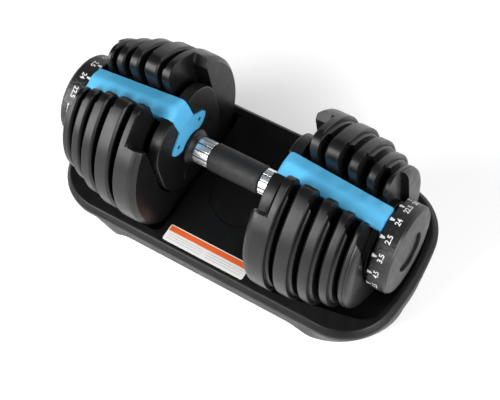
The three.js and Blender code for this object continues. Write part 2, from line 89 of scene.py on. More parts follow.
# ---- plates, in millimetres like every size below that has no other unit ----
PLATE_COUNT = 5
SLOT_HALF = 17  # half width of the open slot
TIP_RADIUS = 14.5  # rounding of the two tips beside the slot
FACE_ROUND = 1.2  # rounding of the slot's edges at both faces
POCKET_DEPTHS = (2, 4.5, 4.8, 4.5, 8)  # from the first plate outwards
POCKET_HALF = 43.5  # half width of a pocket at its floor
POCKET_FLARE = 5  # what a pocket widens by towards the face
POCKET_LEAN = 9.5  # what the pocket walls lean in by at the top of their tool
DOME_FLARE = 8.6  # the same flare on the outer, domed plate
DOME_RUN = 13  # how far in from its rim the outer plate bulges
DOME_FROM = 8  # the bulge starts this far from the inboard face
NOTCH_DEPTH = 18.5  # how deep the first plate is cut back on its inboard side
NOTCH_ANGLE = math.radians(41)  # from straight up
HOUSING_CUT = 57.5  # half width of the cut that clears the end housing

# ---- camera, looking down on the front right corner ----
VIEW_AZIMUTH = math.radians(44.71)
VIEW_ELEVATION = math.radians(60.93)
VIEW_ROLL = math.radians(-14.41)
VIEW_DISTANCE = 1.2556  # metres
VIEW_SHIFT = (0.0118, -0.0337)  # metres, along the camera's own right and up
LENS = 84.93
SENSOR = 36


# ---- outlines ----
def arc(u, v, radius, start, stop, steps):
    """Points of an arc; angles in degrees from the outline's second axis towards its first."""
    turns = [math.radians(start + (stop - start) * k / steps) for k in range(steps + 1)]
    return [(u + radius * math.sin(a), v + radius * math.cos(a)) for a in turns]


def rounded(points, closed=True, steps=5):
    """An outline with its corners rounded. A point is (u, v) or (u, v, radius)."""
    made = []
    count = len(points)
    for i, (u, v, *radius) in enumerate(points):
        here = Vector((u, v))
        if not radius or (not closed and i in (0, count - 1)):
            made.append((u, v))
            continue
        before = Vector(points[i - 1][:2]) - here
        after = Vector(points[(i + 1) % count][:2]) - here
        turn = math.pi - before.angle(after)
        if turn < 0.03:
            made.append((u, v))
            continue
        tangent = math.tan(turn / 2)
        run = min(radius[0] * tangent, 0.49 * before.length, 0.49 * after.length)
        before.normalize()
        after.normalize()
        centre = here + (before + after).normalized() * (run / tangent / math.cos(turn / 2))
        first = here + before * run - centre
        sweep = first.angle_signed(here + after * run - centre)
        for k in range(steps + 1):
            made.append(tuple(centre + Matrix.Rotation(-sweep * k / steps, 2) @ first))
    return made


def arch(half, top=130, steps=40, lean=0):
    """An outline open at the top: straight sides over a half circle about the handle axis.
    The sides may lean inwards, by lean at the top."""
    return [(half - lean, top), *arc(0, 0, half, 90, 270, steps), (lean - half, top)]


def spline(rows, steps=6):
    """Rows of numbers joined by a smooth curve through each of them."""
    made = []
    last = len(rows) - 1
    for i in range(last):
        r0, r1, r2, r3 = (rows[max(0, min(last, i + k))] for k in (-1, 0, 1, 2))
        for k in range(steps):
            t = k / steps
            made.append([
                0.5 * (2 * b + (c - a) * t + (2 * a - 5 * b + 4 * c - d) * t * t
                       + (3 * b - a - 3 * c + d) * t ** 3)
                for a, b, c, d in zip(r0, r1, r2, r3)
            ])
    return made + [list(rows[last])]


# ---- solids, in millimetres about the handle axis ----
def closed(bm):
    """Joins points that meet and turns every face outwards."""
    bmesh.ops.remove_doubles(bm, verts=bm.verts, dist=1e-3)
    loose = [e for e in bm.edges if not e.link_faces]
    bmesh.ops.delete(bm, geom=loose, context="EDGES")
    bmesh.ops.recalc_face_normals(bm, faces=bm.faces)
    return bm


def skin(rows):
    """A solid over a row of closed outlines with the same number of points."""
    bm = bmesh.new()
    rings = [[bm.verts.new(p) for p in row] for row in rows]
    for a, b in zip(rings, rings[1:]):
        for i in range(len(a)):
            j = (i + 1) % len(a)
            bm.faces.new((a[i], a[j], b[j], b[i]))
    bm.faces.new(rings[0])
    bm.faces.new(rings[-1])
    return closed(bm)


def prism(outline, x0, x1):
    """A solid along the handle from an outline in (y, z)."""
    return skin([[(x, u, v) for u, v in outline] for x in (x0, x1)])


def slab(outline, y0, y1):
    """A solid across the handle from an outline in (x, z)."""
    return skin([[(u, y, v) for u, v in outline] for y in (y0, y1)])


def rod(radius, x0, x1, y=0, z=0, steps=48):
    return prism(arc(y, z, radius, 0, 360 - 360 / steps, steps - 1), x0, x1)


def turned(profile, steps=128):
    """A solid turned about the handle axis from an outline in (radius, x)."""
    bm = bmesh.new()
    rings = []
    for k in range(steps):
        s, c = math.sin(math.tau * k / steps), math.cos(math.tau * k / steps)
        rings.append([bm.verts.new((x, r * s, r * c)) for r, x in profile])
    for k in range(steps):
        a, b = rings[k], rings[(k + 1) % steps]
        for i in range(len(profile)):
            j = (i + 1) % len(profile)
            bm.faces.new((a[i], b[i], b[j], a[j]))
    return closed(bm)


def meshed(bm, name):
    """The mesh of a bmesh, which is used up."""
    mesh = bpy.data.meshes.new(name)
    bm.to_mesh(mesh)
    bm.free()
    return mesh


def shown(data, name):
    """A new object in the scene."""
    made = bpy.data.objects.new(name, data)
    bpy.context.scene.collection.objects.link(made)
    return made


def moved(bm, place):
    bmesh.ops.translate(bm, vec=place, verts=bm.verts)
    return bm


def combined(body, tools, operation="DIFFERENCE", solver="MANIFOLD"):
    """The body after each tool has been cut from it, joined to it or crossed with it."""
    work = shown(meshed(body, "work"), "work")
    others = [shown(meshed(tool, "tool"), "tool") for tool in tools]
    for other in others:
        step = work.modifiers.new("step", "BOOLEAN")
        step.object = other
        step.operation = operation
        step.solver = solver
    bm = bmesh.new()
    bm.from_object(work, bpy.context.evaluated_depsgraph_get())
    for spent in (work, *others):
        mesh = spent.data
        bpy.data.objects.remove(spent)
        bpy.data.meshes.remove(mesh)
    if not bm.faces:
        raise RuntimeError("a boolean step left nothing")
    return bm


def cut(body, *tools):
    return combined(body, tools)


def join(body, *tools):
    return combined(body, tools, "UNION")


def cross(body, *tools):
    return combined(body, tools, "INTERSECT")


def add_to(bm, solid):
    """Lays a solid beside what a bmesh holds already, joined to nothing."""
    mesh = meshed(solid, "part")
    bm.from_mesh(mesh)
    bpy.data.meshes.remove(mesh)


def upright(bm):
    """Stands a solid that was made along the handle on its inboard end."""
    bmesh.ops.rotate(bm, cent=(0, 0, 0), matrix=Matrix.Rotation(-math.pi / 2, 3, "Y"), verts=bm.verts)
    return bm


def tidied(bm, weld):
    """Merges slivers that a boolean left and joins flat faces that share a plane."""
    bmesh.ops.remove_doubles(bm, verts=bm.verts, dist=weld)
    bmesh.ops.dissolve_degenerate(bm, dist=weld, edges=bm.edges)
    bmesh.ops.dissolve_limit(bm, angle_limit=math.radians(0.5), verts=bm.verts, edges=bm.edges)
    return bm


def crossings(face):
    """Points where the outline of a flat face crosses itself."""
    points = [v.co for v in face.verts]
    sides = list(zip(points, points[1:] + points[:1]))
    flat = face.normal.orthogonal().normalized()
    across = face.normal.cross(flat)
    plan = [((a.dot(flat), a.dot(across)), (b.dot(flat), b.dot(across))) for a, b in sides]
    found = []
    for i, (p, q) in enumerate(plan):
        for j in range(i + 2, len(plan)):
            if i == 0 and j == len(plan) - 1:
                continue
            r, s = plan[j]
            if max(p[0], q[0]) < min(r[0], s[0]) or max(r[0], s[0]) < min(p[0], q[0]):
                continue
            if geometry.intersect_line_line_2d(Vector(p), Vector(q), Vector(r), Vector(s)):
                found.append(sides[i][0].copy())
    return found


BEVEL_TRIES = 14
CLEAR_FIRST, CLEAR_MORE = 1.2, 0.5  # bevel widths kept from a fold at the first try, and more at each next
FOLD_AREA = 12  # faces under this many square millimetres aren't searched for folds


def softened(bm, width, left_alone=(), segments=2, least=40, weld=0.12):
    """Rounds every edge that turns by more than the least angle, in degrees.
    Edges in the bands of x that are left alone stay sharp, and so do those
    where rounding would fold a face over itself."""
    tidied(bm, weld)
    limit = math.radians(least)
    folds = []

    def wanted(edge, clear):
        a, b = (v.co for v in edge.verts)
        middle = (a + b) / 2
        if not edge.is_manifold or edge.calc_face_angle(0) < limit:
            return False
        if any(low < middle.x < high for low, high in left_alone):
            return False
        for fold in folds:
            nearest, share = geometry.intersect_point_line(fold, a, b)
            nearest = a.lerp(b, max(0, min(1, share)))
            if (nearest - fold).length < clear:
                return False
        return True

    for attempt in range(BEVEL_TRIES):
        trial = bm.copy()
        clear = width * (CLEAR_FIRST + CLEAR_MORE * attempt)
        sharp = [e for e in trial.edges if wanted(e, clear)]
        bmesh.ops.bevel(trial, geom=sharp, offset=width, offset_type="OFFSET", segments=segments,
                        profile=0.5, affect="EDGES", clamp_overlap=False, loop_slide=True)
        bmesh.ops.remove_doubles(trial, verts=trial.verts, dist=0.02)
        bmesh.ops.recalc_face_normals(trial, faces=trial.faces)
        wide = [f for f in trial.faces if len(f.verts) > 4 and f.calc_area() > FOLD_AREA]
        found = [p for f in wide for p in crossings(f)]
        if not found:
            break
        folds += found
        trial.free()
    else:
        return bm
    bm.free()
    return trial


# ---- weight plates ----
def plate_outline(radius, inset, edge):
    """Plan of a plate: round, with an open slot between two round tips, in (y, z).
    The rim stands in by inset, and the slot and tips by edge. An inset rim meets
    the tips at a corner, so a bevel runs out to a point there."""
    tip = TIP_RADIUS - edge
    y = SLOT_HALF + TIP_RADIUS
    out = radius - TIP_RADIUS
    z = math.sqrt(out ** 2 - y ** 2)
    rim_radius = max(radius - inset, out + tip) if inset < edge else radius - inset
    met = (rim_radius ** 2 - out ** 2 - tip ** 2) / (2 * out * tip)
    lean = math.degrees(math.atan2(y, z))
    short = math.degrees(math.acos(max(-1, min(1, met))))
    wall = [(SLOT_HALF + edge, z * k / 5) for k in range(5)]
    side = wall + arc(y, z, tip, -90, lean - short, 14)
    start = math.degrees(math.atan2(*side[-1]))
    rim = arc(0, 0, rim_radius, start, 360 - start, 150)[1:-1]
    far_side = [(-u, v) for u, v in reversed(side)]
    return side + rim + far_side + arc(0, 0, SLOT_HALF + edge, 270, 90, 20)[1:-1]


def plate_blank(index, x0, x1, radius):
    """The plate before its pockets are sunk."""
    ledge = x1 - 3  # the outboard layer stands in from the rim
    if index == 0:
        inboard = [(5.4, x0, 0.9), (1.7, x0 + 3.7, 1.5), (1.3, x0 + 4.4), (1.3, x0 + 4.9),
                   (0.6, x0 + 5.3, 0.5), (0, x0 + 9, 8)]
    else:
        inboard = [(2.6, x0), (0, x0 + 2.6, 2)]
    if index == PLATE_COUNT - 1:
        top = x0 + DOME_FROM
        outboard = [(0, top - 1.6, 0.4), (0.9, top - 1.4), (0.9, top - 0.6, 0.3)]
        outboard += [(0.4 + DOME_RUN * (1 - math.cos(a)), top + (x1 - top) * math.sin(a))
                     for a in (math.radians(8 + 82 * k / 10) for k in range(11))]
    else:
        outboard = [(0, ledge, 1.3), (3.4, ledge, 0.4), (3.8, ledge - 0.8), (4.7, ledge - 0.8, 0.4),
                    (5.2, x1 - 1.2, 0.8), (6.6, x1)]
    profile = rounded([(40, x0), *inboard, *outboard, (40, outboard[-1][1])], closed=False, steps=4)
    rows = []
    for inset, x in profile[1:-1]:
        face = min(x - x0, x1 - x)
        edge = FACE_ROUND - math.sqrt(max(0, FACE_ROUND ** 2 - (FACE_ROUND - min(FACE_ROUND, face)) ** 2))
        rows.append([(x, u, v) for u, v in plate_outline(radius, inset, edge)])
    return skin(rows)


def pocket(half, flare, floor, face, last=0.9, clear=1, lean=0):
    """A tool that sinks a pocket open at the top, its walls swelling out in an S.
    A last share of a half stops the S at its steepest, for a crisp edge."""
    rows = []
    for k in range(9):
        u = last * k / 8
        depth = (1 - math.cos(math.pi * u)) / (1 - math.cos(math.pi * last))
        rows.append((floor + (face - floor) * depth, half + flare * u))
    (xa, ha), (xb, hb) = rows[-2:]
    rows.append((xb + clear, hb + clear * (hb - ha) / (xb - xa)))
    return skin([[(x, u, v) for u, v in arch(h, lean=lean)] for x, h in rows])


def notch_tools(x0, radius):
    """What is taken from the first plate's inboard side, above its thick lower block."""
    deep = x0 + NOTCH_DEPTH
    side, up = math.sin(NOTCH_ANGLE), math.cos(NOTCH_ANGLE)

    def wedge(x, inward, far=180):
        apex = inward / side
        return [(x, 0, apex), (x, far * side, apex + far * up), (x, 0, apex + far * 1.5),
                (x, -far * side, apex + far * up)]

    rows = [wedge(x0 - 1, -1.6), wedge(x0, -1.1), wedge(x0 + 0.3, -0.5), wedge(x0 + 1.1, 0),
            wedge(deep - 4.2, 0), wedge(deep - 2.6, 0.25), wedge(deep - 1.2, 1.2), wedge(deep - 0.3, 2.6),
            wedge(deep, 4.2)]
    housing = prism(arch(HOUSING_CUT, 110), x0 - 1, deep)
    profile = [(radius + 2, deep - 1), (radius + 2, deep + 1.7), (radius, deep + 1.7),
               (radius - 0.5, deep + 0.6), (radius - 1.7, deep), (radius - 1.7, deep - 1)]
    region = skin([wedge(deep - 2, 0.3), wedge(deep + 9, 0.3)])
    return skin(rows), housing, cross(turned(profile, 200), region)


def plate_solid(index):
    """One weight plate of the right end."""
    x0, x1, radius = extent(f"plate_right_{index + 1}")
    floor = x1 - POCKET_DEPTHS[index]
    body = plate_blank(index, x0, x1, radius)
    grooves = [(x1 - 4.2, x1 + 1)]
    if index == PLATE_COUNT - 1:
        grooves = [(x0 + 5.4, x0 + 8.4)]
        body = cut(body, pocket(POCKET_HALF, DOME_FLARE, floor, x1, 0.5))
    else:
        body = cut(body, pocket(POCKET_HALF, POCKET_FLARE, floor, x1, lean=POCKET_LEAN))
    if index == 0:
        body = cut(body, *notch_tools(x0, radius))
        grooves.append((x0 + 4, x0 + 6.8))
    return softened(body, sizes().plate_edge / MM, grooves)


# ---- handle, brackets and ears ----
GRIP_BORE = 12.8
FLUTES, FLUTE_WIDTH, FLUTE_DEPTH = 12, 1.25, 1.1  # the grooves along a chromed ring
COLLAR_BORE = 15.3
SHEET = 2.2  # thickness of the brackets and ear plates
EAR_X = span("lower_ears_right")[0]  # inboard face of the ears
EAR_RING = 21.2  # the ears clear the collar by this radius
EAR_HOLE = 2.7  # radius of a screw hole
EAR_HOLE_Y, EAR_HOLE_Z = 20, 27
LOWER_EAR_TURN = 10  # degrees; the lower ears sit closer to the middle
HOUSING_BORE = 7
SCREW_HEAD, SCREW_SHANK = 1.4, 1.4  # height of a screw's head, radius of its shank
SOCKET_RADIUS, SOCKET_DEPTH = 1.35, 0.9


def grip_solid():
    half, radius = (GRIP_HIGH.x - GRIP_LOW.x) / 2, reach("grip")
    profile = rounded([(GRIP_BORE, -half), (radius - 0.9, -half, 0.8), (radius, -half + 1.6, 2),
                       (radius, 0), (radius, half - 1.6, 2), (radius - 0.9, half, 0.8), (GRIP_BORE, half)])
    return turned(profile, 160)


def ferrule_solid():
    """A chromed ring with rounded grooves along it."""
    x0, x1, radius = extent("ferrule_right")
    half = math.degrees(FLUTE_WIDTH / 2 / radius)
    outline = []
    for k in range(FLUTES):
        middle = 360 * k / FLUTES
        floor = [(middle + half * t, radius - FLUTE_DEPTH) for t in (-0.85, 0, 0.85)]
        wall = [(middle + half * 1.05, radius - 0.12), (middle + half * 1.25, radius)]
        after = middle + 360 / FLUTES
        land = [(middle + half * 1.25 + (after - middle - half * 2.5) * k / 10, radius) for k in range(1, 10)]
        back = [(after - half * 1.25, radius), (after - half * 1.05, radius - 0.12)]
        outline += floor + wall + land + back
    points = [(r * math.sin(math.radians(a)), r * math.cos(math.radians(a))) for a, r in outline]

    def row(x, share):
        return [(x, u * share, v * share) for u, v in points]

    body = skin([row(x0, 0.97), row(x0 + 0.5, 1), row(x1 - 0.5, 1), row(x1, 0.97)])
    return cut(body, rod(GRIP_BORE, x0 - 1, x1 + 1))


def painted_groove_shade():
    """Dark strips along the bottoms of the grooves in a chromed ring: painted shade where the grooves fall
    into shadow.
    """
    x0, x1, radius = extent("ferrule_right")
    low, high = radius - FLUTE_DEPTH - 0.1, radius - 0.35
    half = 0.5 * FLUTE_WIDTH / high
    bm = bmesh.new()
    for k in range(FLUTES):
        middle = math.tau * k / FLUTES
        box = [(low, middle - half), (high, middle - half), (high, middle + half), (low, middle + half)]
        add_to(bm, prism([(r * math.sin(a), r * math.cos(a)) for r, a in box], x0 + 0.6, x1 - 0.6))
    return bm


def collar_solid():
    x0, x1, radius = extent("collar_right")
    profile = [(COLLAR_BORE, x0), (16.4, x0, 0.5), (17.6, x0 + 2.4, 4), (radius - 0.6, x0 + 4.9, 2.2),
               (radius, x0 + 6.4, 1), (radius, x1, 0.8), (COLLAR_BORE, x1)]
    return turned(rounded(profile), 120)


def swung(y, z, turn):
    """A place turned about the handle axis, in degrees."""
    a = math.radians(turn)
    return y * math.cos(a) - z * math.sin(a), y * math.sin(a) + z * math.cos(a)


def ear_outline(neck, top, turn):
    """Two leaf-shaped ears on a neck, in (y, z), clear of the collar between them."""
    ear = [(14.2, 42.5, 3), (20.4, 37.4, 20), (28.6, 31.8, 8), (31.9, 26.2, 1.5), (28.6, 20.4, 8),
           (23.6, 17, 6), (19, 15.4, 3), (15.6, 15.2)]
    ear = [(*swung(y, z, turn), *r) for y, z, *r in ear]
    end = math.degrees(math.atan2(ear[-1][0], ear[-1][1]))
    half = [(neck, top), *ear]
    far_half = [(-y, z, *r) for y, z, *r in reversed(half)]
    return rounded(half + arc(0, 0, EAR_RING, end, -end, 36) + far_half, steps=5)


def ear_plate(neck, top, turn):
    """The flat part of a bracket or lower plate, with a screw hole in each ear."""
    y, z = swung(EAR_HOLE_Y, EAR_HOLE_Z, turn)
    holes = [rod(EAR_HOLE, EAR_X - 1, EAR_X + SHEET + 1, side * y, z, 32) for side in (1, -1)]
    return cut(prism(ear_outline(neck, top, turn), EAR_X, EAR_X + SHEET), *holes)


def bracket_solid():
    """The long roof-shaped strip, bent down at its inner end into the ears.
    Named below: the outer end and the bend with their heights, the half widths
    of the strip and its neck, and how far the sides fall from the ridge."""
    end, end_z, bend, bend_z, half, neck, drop = 180.4, 53.5, 72, 71.3, 13.8, 13, 4.2
    slope = (end_z - bend_z) / (end - bend)
    nx, nz = -slope / math.hypot(slope, 1), 1 / math.hypot(slope, 1)

    def along(x):
        return [x, bend_z + slope * (x - bend), nx, nz, half, drop]

    stations = [along(end), along(108)] + spline([
        along(77.5), along(bend), [67.2, 70.6, -0.3, 0.954, half, drop * 0.8],
        [63.4, 66.6, -0.78, 0.626, half, drop * 0.35], [61.4, 60.5, -0.96, 0.28, half - 0.3, 0.3],
        [59.9, 53.7, -0.975, 0.22, half - 0.6, 0.1], [EAR_X, 47, -0.985, 0.174, neck, 0],
        [EAR_X, 42.6, -1, 0, neck, 0],
    ], 5)
    blunt = 0.2  # how round the ridge along the roof is
    crest = math.hypot(1, blunt) - blunt

    def section(x, z, ax, az, wide, fall):
        shares = [-1 + k / 8 for k in range(17)]
        size = math.hypot(ax, az)
        sunk = [(t * wide, fall * (math.hypot(t, blunt) - blunt) / crest) for t in shares]
        top = [(x - ax * deep, y, z - az * deep) for y, deep in sunk]
        return top + [(px - SHEET * ax / size, py, pz - SHEET * az / size) for px, py, pz in reversed(top)]

    sheet = skin([section(*row) for row in stations])
    fold = rounded([(x, bend_z + slope * (x - bend) - drop - deep, *r) for x, deep, *r in [
        (77, 1), (77, 14, 4), (87, 14, 4), (90, 5, 3), (end - 3, 5, 2), (end - 1, 1)]])
    leg = cut(prism([(neck, 50), *arc(0, 0, 15.3, 90, 270, 24), (-neck, 50)], 178, end),
              rod(12.6, 177, 181.4))
    flanges = [slab(fold, half - SHEET, half), slab(fold, -half, SHEET - half)]
    body = join(sheet, *flanges, leg, ear_plate(neck, 43.5, 0))
    return softened(body, 0.35, least=50, weld=0.08)


def lower_ear_solid():
    body = ear_plate(6, 44.5, LOWER_EAR_TURN)
    bmesh.ops.scale(body, vec=(1, 1, -1), verts=body.verts)
    bmesh.ops.recalc_face_normals(body, faces=body.faces)
    return softened(body, 0.4, weld=0.05)


def housing_solid():
    """Round below, square-shouldered above, with a full rounded edge."""
    x0, x1 = span("end_housing_right")
    half, top, corner = 55, 66, 38

    def row(x, inset):
        c = corner - inset
        outline = [*arc(0, 0, half - inset, 90, 270, 60), *arc(-half + corner, top - corner, c, 270, 360, 18),
                   *arc(half - corner, top - corner, c, 0, 90, 18)]
        return [(x, u, v) for u, v in outline]

    edge = 1.6
    turns = [math.radians(15 * k) for k in range(7)]
    rows = [row(x0 + edge * (1 - math.sin(a)), edge * (1 - math.cos(a))) for a in reversed(turns)]
    rows += [row(x1 - edge * (1 - math.sin(a)), edge * (1 - math.cos(a))) for a in turns]
    inner = EAR_X + SHEET + 0.3
    seat = slab([(50, 90), (50, 40), (inner, 40), (inner, 46), (64.3, 59.4), (66.8, 63.6), (69, 64.7),
                 (80, 64.2), (80, 90)], -14.4, 14.4)
    return cut(skin(rows), seat, rod(HOUSING_BORE, x0 - 1, x1 + 1))


def screw_solid():
    """A small round head with a hexagon socket, about the axis of its hole."""
    low, high = corners("ear_screw_right_1")
    radius, x0 = (high.y - low.y) / 2, low.x
    under = x0 + SCREW_HEAD
    head = turned(rounded([(0, x0), (radius, x0, 0.5), (radius, under), (SCREW_SHANK, under),
                           (SCREW_SHANK, high.x), (0, high.x)]), 40)
    return cut(head, prism(arc(0, 0, SOCKET_RADIUS, 0, 300, 5), x0 - 1, x0 + SOCKET_DEPTH))


# ---- dials ----
NUMBERS = ("24", "2.5", "3.5", "4.5", "5.5", "6.5", "8", "9", "10", "11.5", "13.5", "16", "18", "20.5",
           "22.5")
NUMBER_TURN = -3.0  # degrees from straight up to the first number
NUMBER_X = 191.6  # middle of the numbers along the handle
NUMBER_RING = 9.9  # radius of the round groove about each number
GROOVE_WIDTH = 0.55
PRINT_HEIGHT = 0.1  # the print stands this far out of the rim
LETTER_SIZE, LETTER_WEIGHT = 7.9, 0.16  # size before it is scaled, and thickening of the strokes
WEDGE = {"x0": 182.2, "x1": 187.2, "wide": 1.9, "narrow": 0.95}  # its ends, and half its width there
DIAL_STEPS = 480
DIAL_RECESS, RECESS_DEPTH = 22, 7  # radius and depth of the recess for the disc
SLEEVE_BORE, FRONT_BORE, BORE_STEP = 12.4, 10.6, 192.3  # the dial's two bores and where they meet
DISC_LIP = 36.5  # inner radius of a selector disc's lip
DISC_WEB = 2.5  # thickness of a selector disc inside its lip
DISC_BORE = 12.6
SECTOR_START, SECTOR_STEP, SECTOR_SPAN = 35, 14, 96  # degrees; where a disc's lip is cut away


def number_angles():
    return [math.radians(NUMBER_TURN + 360 * k / len(NUMBERS)) for k in range(len(NUMBERS))]


def dial_solid():
    """The number wheel: a grooved rim, a slightly coned face and a recess for its disc."""
    x0, x1, radius = extent("dial_right")
    rim = [(radius, x0 + 1.6 + 0.6 * k) for k in range(int((x1 - x0 - 9) / 0.6))]
    shell = rounded([(SLEEVE_BORE, x0), (17, x0, 0.6), (17, x0 + 9), (43.4, x0 + 9), (45, x0 + 0.2, 0.4),
                     (radius - 0.8, x0, 0.6), *rim, (radius, x1 - 4.9, 0.9), (radius - 2, x1 - 2.4, 0.9),
                     (DIAL_RECESS + 0.6, x1 - 0.05, 0.7), (DIAL_RECESS, x1 - 0.8, 0.5),
                     (DIAL_RECESS, x1 - RECESS_DEPTH), (FRONT_BORE, x1 - RECESS_DEPTH),
                     (FRONT_BORE, BORE_STEP), (SLEEVE_BORE, BORE_STEP)], steps=4)
    body = turned(shell, DIAL_STEPS)
    angles = number_angles()
    depth = sizes().groove_depth / MM
    for vertex in body.verts:
        x, y, z = vertex.co
        if math.hypot(y, z) < radius - 0.2:
            continue
        here = math.atan2(-y, z)
        for angle in angles:
            turn = (here - angle + math.pi) % math.tau - math.pi
            off = abs(math.hypot(turn * radius, x - NUMBER_X) - NUMBER_RING)
            if off < GROOVE_WIDTH:
                sink = depth * (0.5 + 0.5 * math.cos(math.pi * off / GROOVE_WIDTH))
                share = 1 - sink / radius
                vertex.co.y, vertex.co.z = y * share, z * share
                break
    return body


def wrapped(x, across, height, angle, radius):
    """A point laid on the rim: x along the handle, across the rim, and height over it."""
    turn = angle - across / radius
    r = radius + height
    return x, -r * math.sin(turn), r * math.cos(turn)


def dial_marks():
    """The numbers and the tapered wedges beside them, as thin raised print on the rim."""
    radius = reach("dial_right")
    bm = bmesh.new()
    for angle, number in zip(number_angles(), NUMBERS):
        curve = bpy.data.curves.new("number", "FONT")
        curve.body = number
        curve.size = LETTER_SIZE
        curve.align_x, curve.align_y = "CENTER", "CENTER"
        curve.offset = LETTER_WEIGHT
        curve.extrude = PRINT_HEIGHT
        curve.resolution_u = 4
        made = shown(curve, "number")
        depsgraph = bpy.context.evaluated_depsgraph_get()
        mesh = bpy.data.meshes.new_from_object(made.evaluated_get(depsgraph))
        before = set(bm.verts)
        bm.from_mesh(mesh)
        fresh = set(bm.verts) - before
        wide, tall = ([v.co[i] for v in fresh] for i in (0, 1))
        size = sizes().number_height / MM / (max(tall) - min(tall))
        for vertex in fresh:
            across = (vertex.co.x - (max(wide) + min(wide)) / 2) * size
            up = (vertex.co.y - (max(tall) + min(tall)) / 2) * size
            vertex.co = wrapped(NUMBER_X - up, across, vertex.co.z, angle, radius)
        bpy.data.objects.remove(made)
        bpy.data.curves.remove(curve)
        bpy.data.meshes.remove(mesh)
        rows = []
        for x, half in ((WEDGE["x0"], WEDGE["wide"]), (WEDGE["x1"], WEDGE["narrow"])):
            top = [wrapped(x, half * t, PRINT_HEIGHT, angle, radius) for t in (-1, 0, 1)]
            low = [wrapped(x, half * t, -PRINT_HEIGHT, angle, radius) for t in (1, 0, -1)]
            rows.append(top + low)
        add_to(bm, skin(rows))
    bmesh.ops.remove_doubles(bm, verts=bm.verts, dist=1e-4)
    bmesh.ops.recalc_face_normals(bm, faces=bm.faces)
    return bm


def cap_solid():
    """The disc in a dial's face, a little crowned and sunk below its edge."""
    x0, x1, radius = extent("dial_cap_right")
    top = x1 - 1.3
    return turned(rounded([(0, x0), (radius, x0, 0.4), (radius, top - 0.5, 0.5), (radius - 1.2, top, 0.5),
                           (radius - 6, top + 0.3, 8), (0, top + 0.4)]), 128)


def disc_solid(index):
    """A selector disc; its lip is cut away where the dial leaves this plate behind."""
    x0, x1 = span(f"selector_disc_right_{index + 1}")
    radius, web = POCKET_HALF - 0.8, x1 - DISC_WEB
    disc = turned(rounded([(DISC_BORE, web), (DISC_LIP, web), (DISC_LIP, x0), (radius, x0, 0.4),
                           (radius, x1, 0.8), (DISC_BORE, x1)]), 96)
    start = SECTOR_START + SECTOR_STEP * index
    sector = prism([(0, 0), *arc(0, 0, 60, start, start + SECTOR_SPAN, 6)], x0 - 1, web - 0.01)
    return cut(disc, sector)


# ---- tray, in millimetres about the floor under its middle ----
TRAY_HALF, TRAY_SIDE, TRAY_TOP = TRAY_HIGH.x, TRAY_HIGH.y, 62
TRAY_CORNER = 62
TRAY_BOW = 300  # radius of the bowed ends
WALL = 3
FOOT_Z = TRAY_LOW.z
SKIRT_HALF, SKIRT_SIDE = TRAY_HALF - 6, TRAY_SIDE - 6.5  # outline at the feet
LIP_DROP = 14.2  # from the top to the lip's underside
LIP = [(3.6, TRAY_TOP - LIP_DROP), (0.3, TRAY_TOP - 13.6, 1), (0, TRAY_TOP - 6.5, 6), (5.5, TRAY_TOP, 4),
       (12, TRAY_TOP)]
WELL_X, WELL_FLAT, WELL_RADIUS, WELL_SLOPE = 61, 88, 104.6, 0.145
WELL_END, WELL_BOW, WELL_END_SLOPE = 204, 243, 1.35
FLANK_X, FLANK_Y = 150, 75.2  # where the sloping flanks of a well's outer part start
FLANK_RUN, FLANK_RISE = 0.137, 0.841  # their rise along and across the tray
FLANK_SCALE = 1.31  # height over a flank for each millimetre out of it
KEEL_HALF, KEEL_END = 28, 174.5
FLANK_GROWTH = 1.3  # what a flank sinks by for each millimetre that its well grows
RING_LOW, RING_HIGH, RING_DEPTH = 38.4, 41.4, 1.3  # radii and depth of the groove in the plateau
STEP_HALF, STEP_DEPTH = 86, 1.6  # the step between the plateau and a well
INNER_CORNER, OUTER_CORNER = 7, 9  # rounding of a well's corners in plan
POST_RADIUS = 11  # the posts over the rubber pads
POST_IN_X, POST_IN_Y = 40, 31  # how far a post's axis stands in from the skirt
FOOT_LENGTH, FOOT_WIDTH = 70, 45  # from a corner of the skirt to the start of an arch
ARCH_HEIGHT, ARCH_RUN = 20, 34  # height of an arch over the floor, length of its S-curve


def tray_outline(half, side, corner, bow, z):
    """Plan with straight sides, round corners and bowed ends."""
    rise = side - corner
    middle = half - bow + math.sqrt((bow - corner) ** 2 - rise ** 2)
    lean = math.degrees(math.asin(rise / (bow - corner)))
    points = []
    for sign, turn in ((1, 0), (-1, 180)):
        points += arc(sign * middle, sign * rise, corner, turn, turn + 90 - lean, 28)
        points += arc(sign * (half - bow), 0, bow, turn + 90 - lean, turn + 90 + lean, 16)[1:-1]
        points += arc(sign * middle, -sign * rise, corner, turn + 90 + lean, turn + 180, 28)
    return [(x, y, z) for x, y in points]


def rim_row(inset, z):
    return tray_outline(TRAY_HALF - inset, TRAY_SIDE - inset, TRAY_CORNER - inset, TRAY_BOW - inset, z)


def skirt_row(inset, z):
    side = SKIRT_SIDE - inset
    return tray_outline(SKIRT_HALF - inset, side, side - 5, TRAY_BOW - inset, z)


def mirrored(bm):
    made = bm.copy()
    bmesh.ops.scale(made, vec=(-1, 1, 1), verts=made.verts)
    bmesh.ops.recalc_face_normals(made, faces=made.faces)
    return made


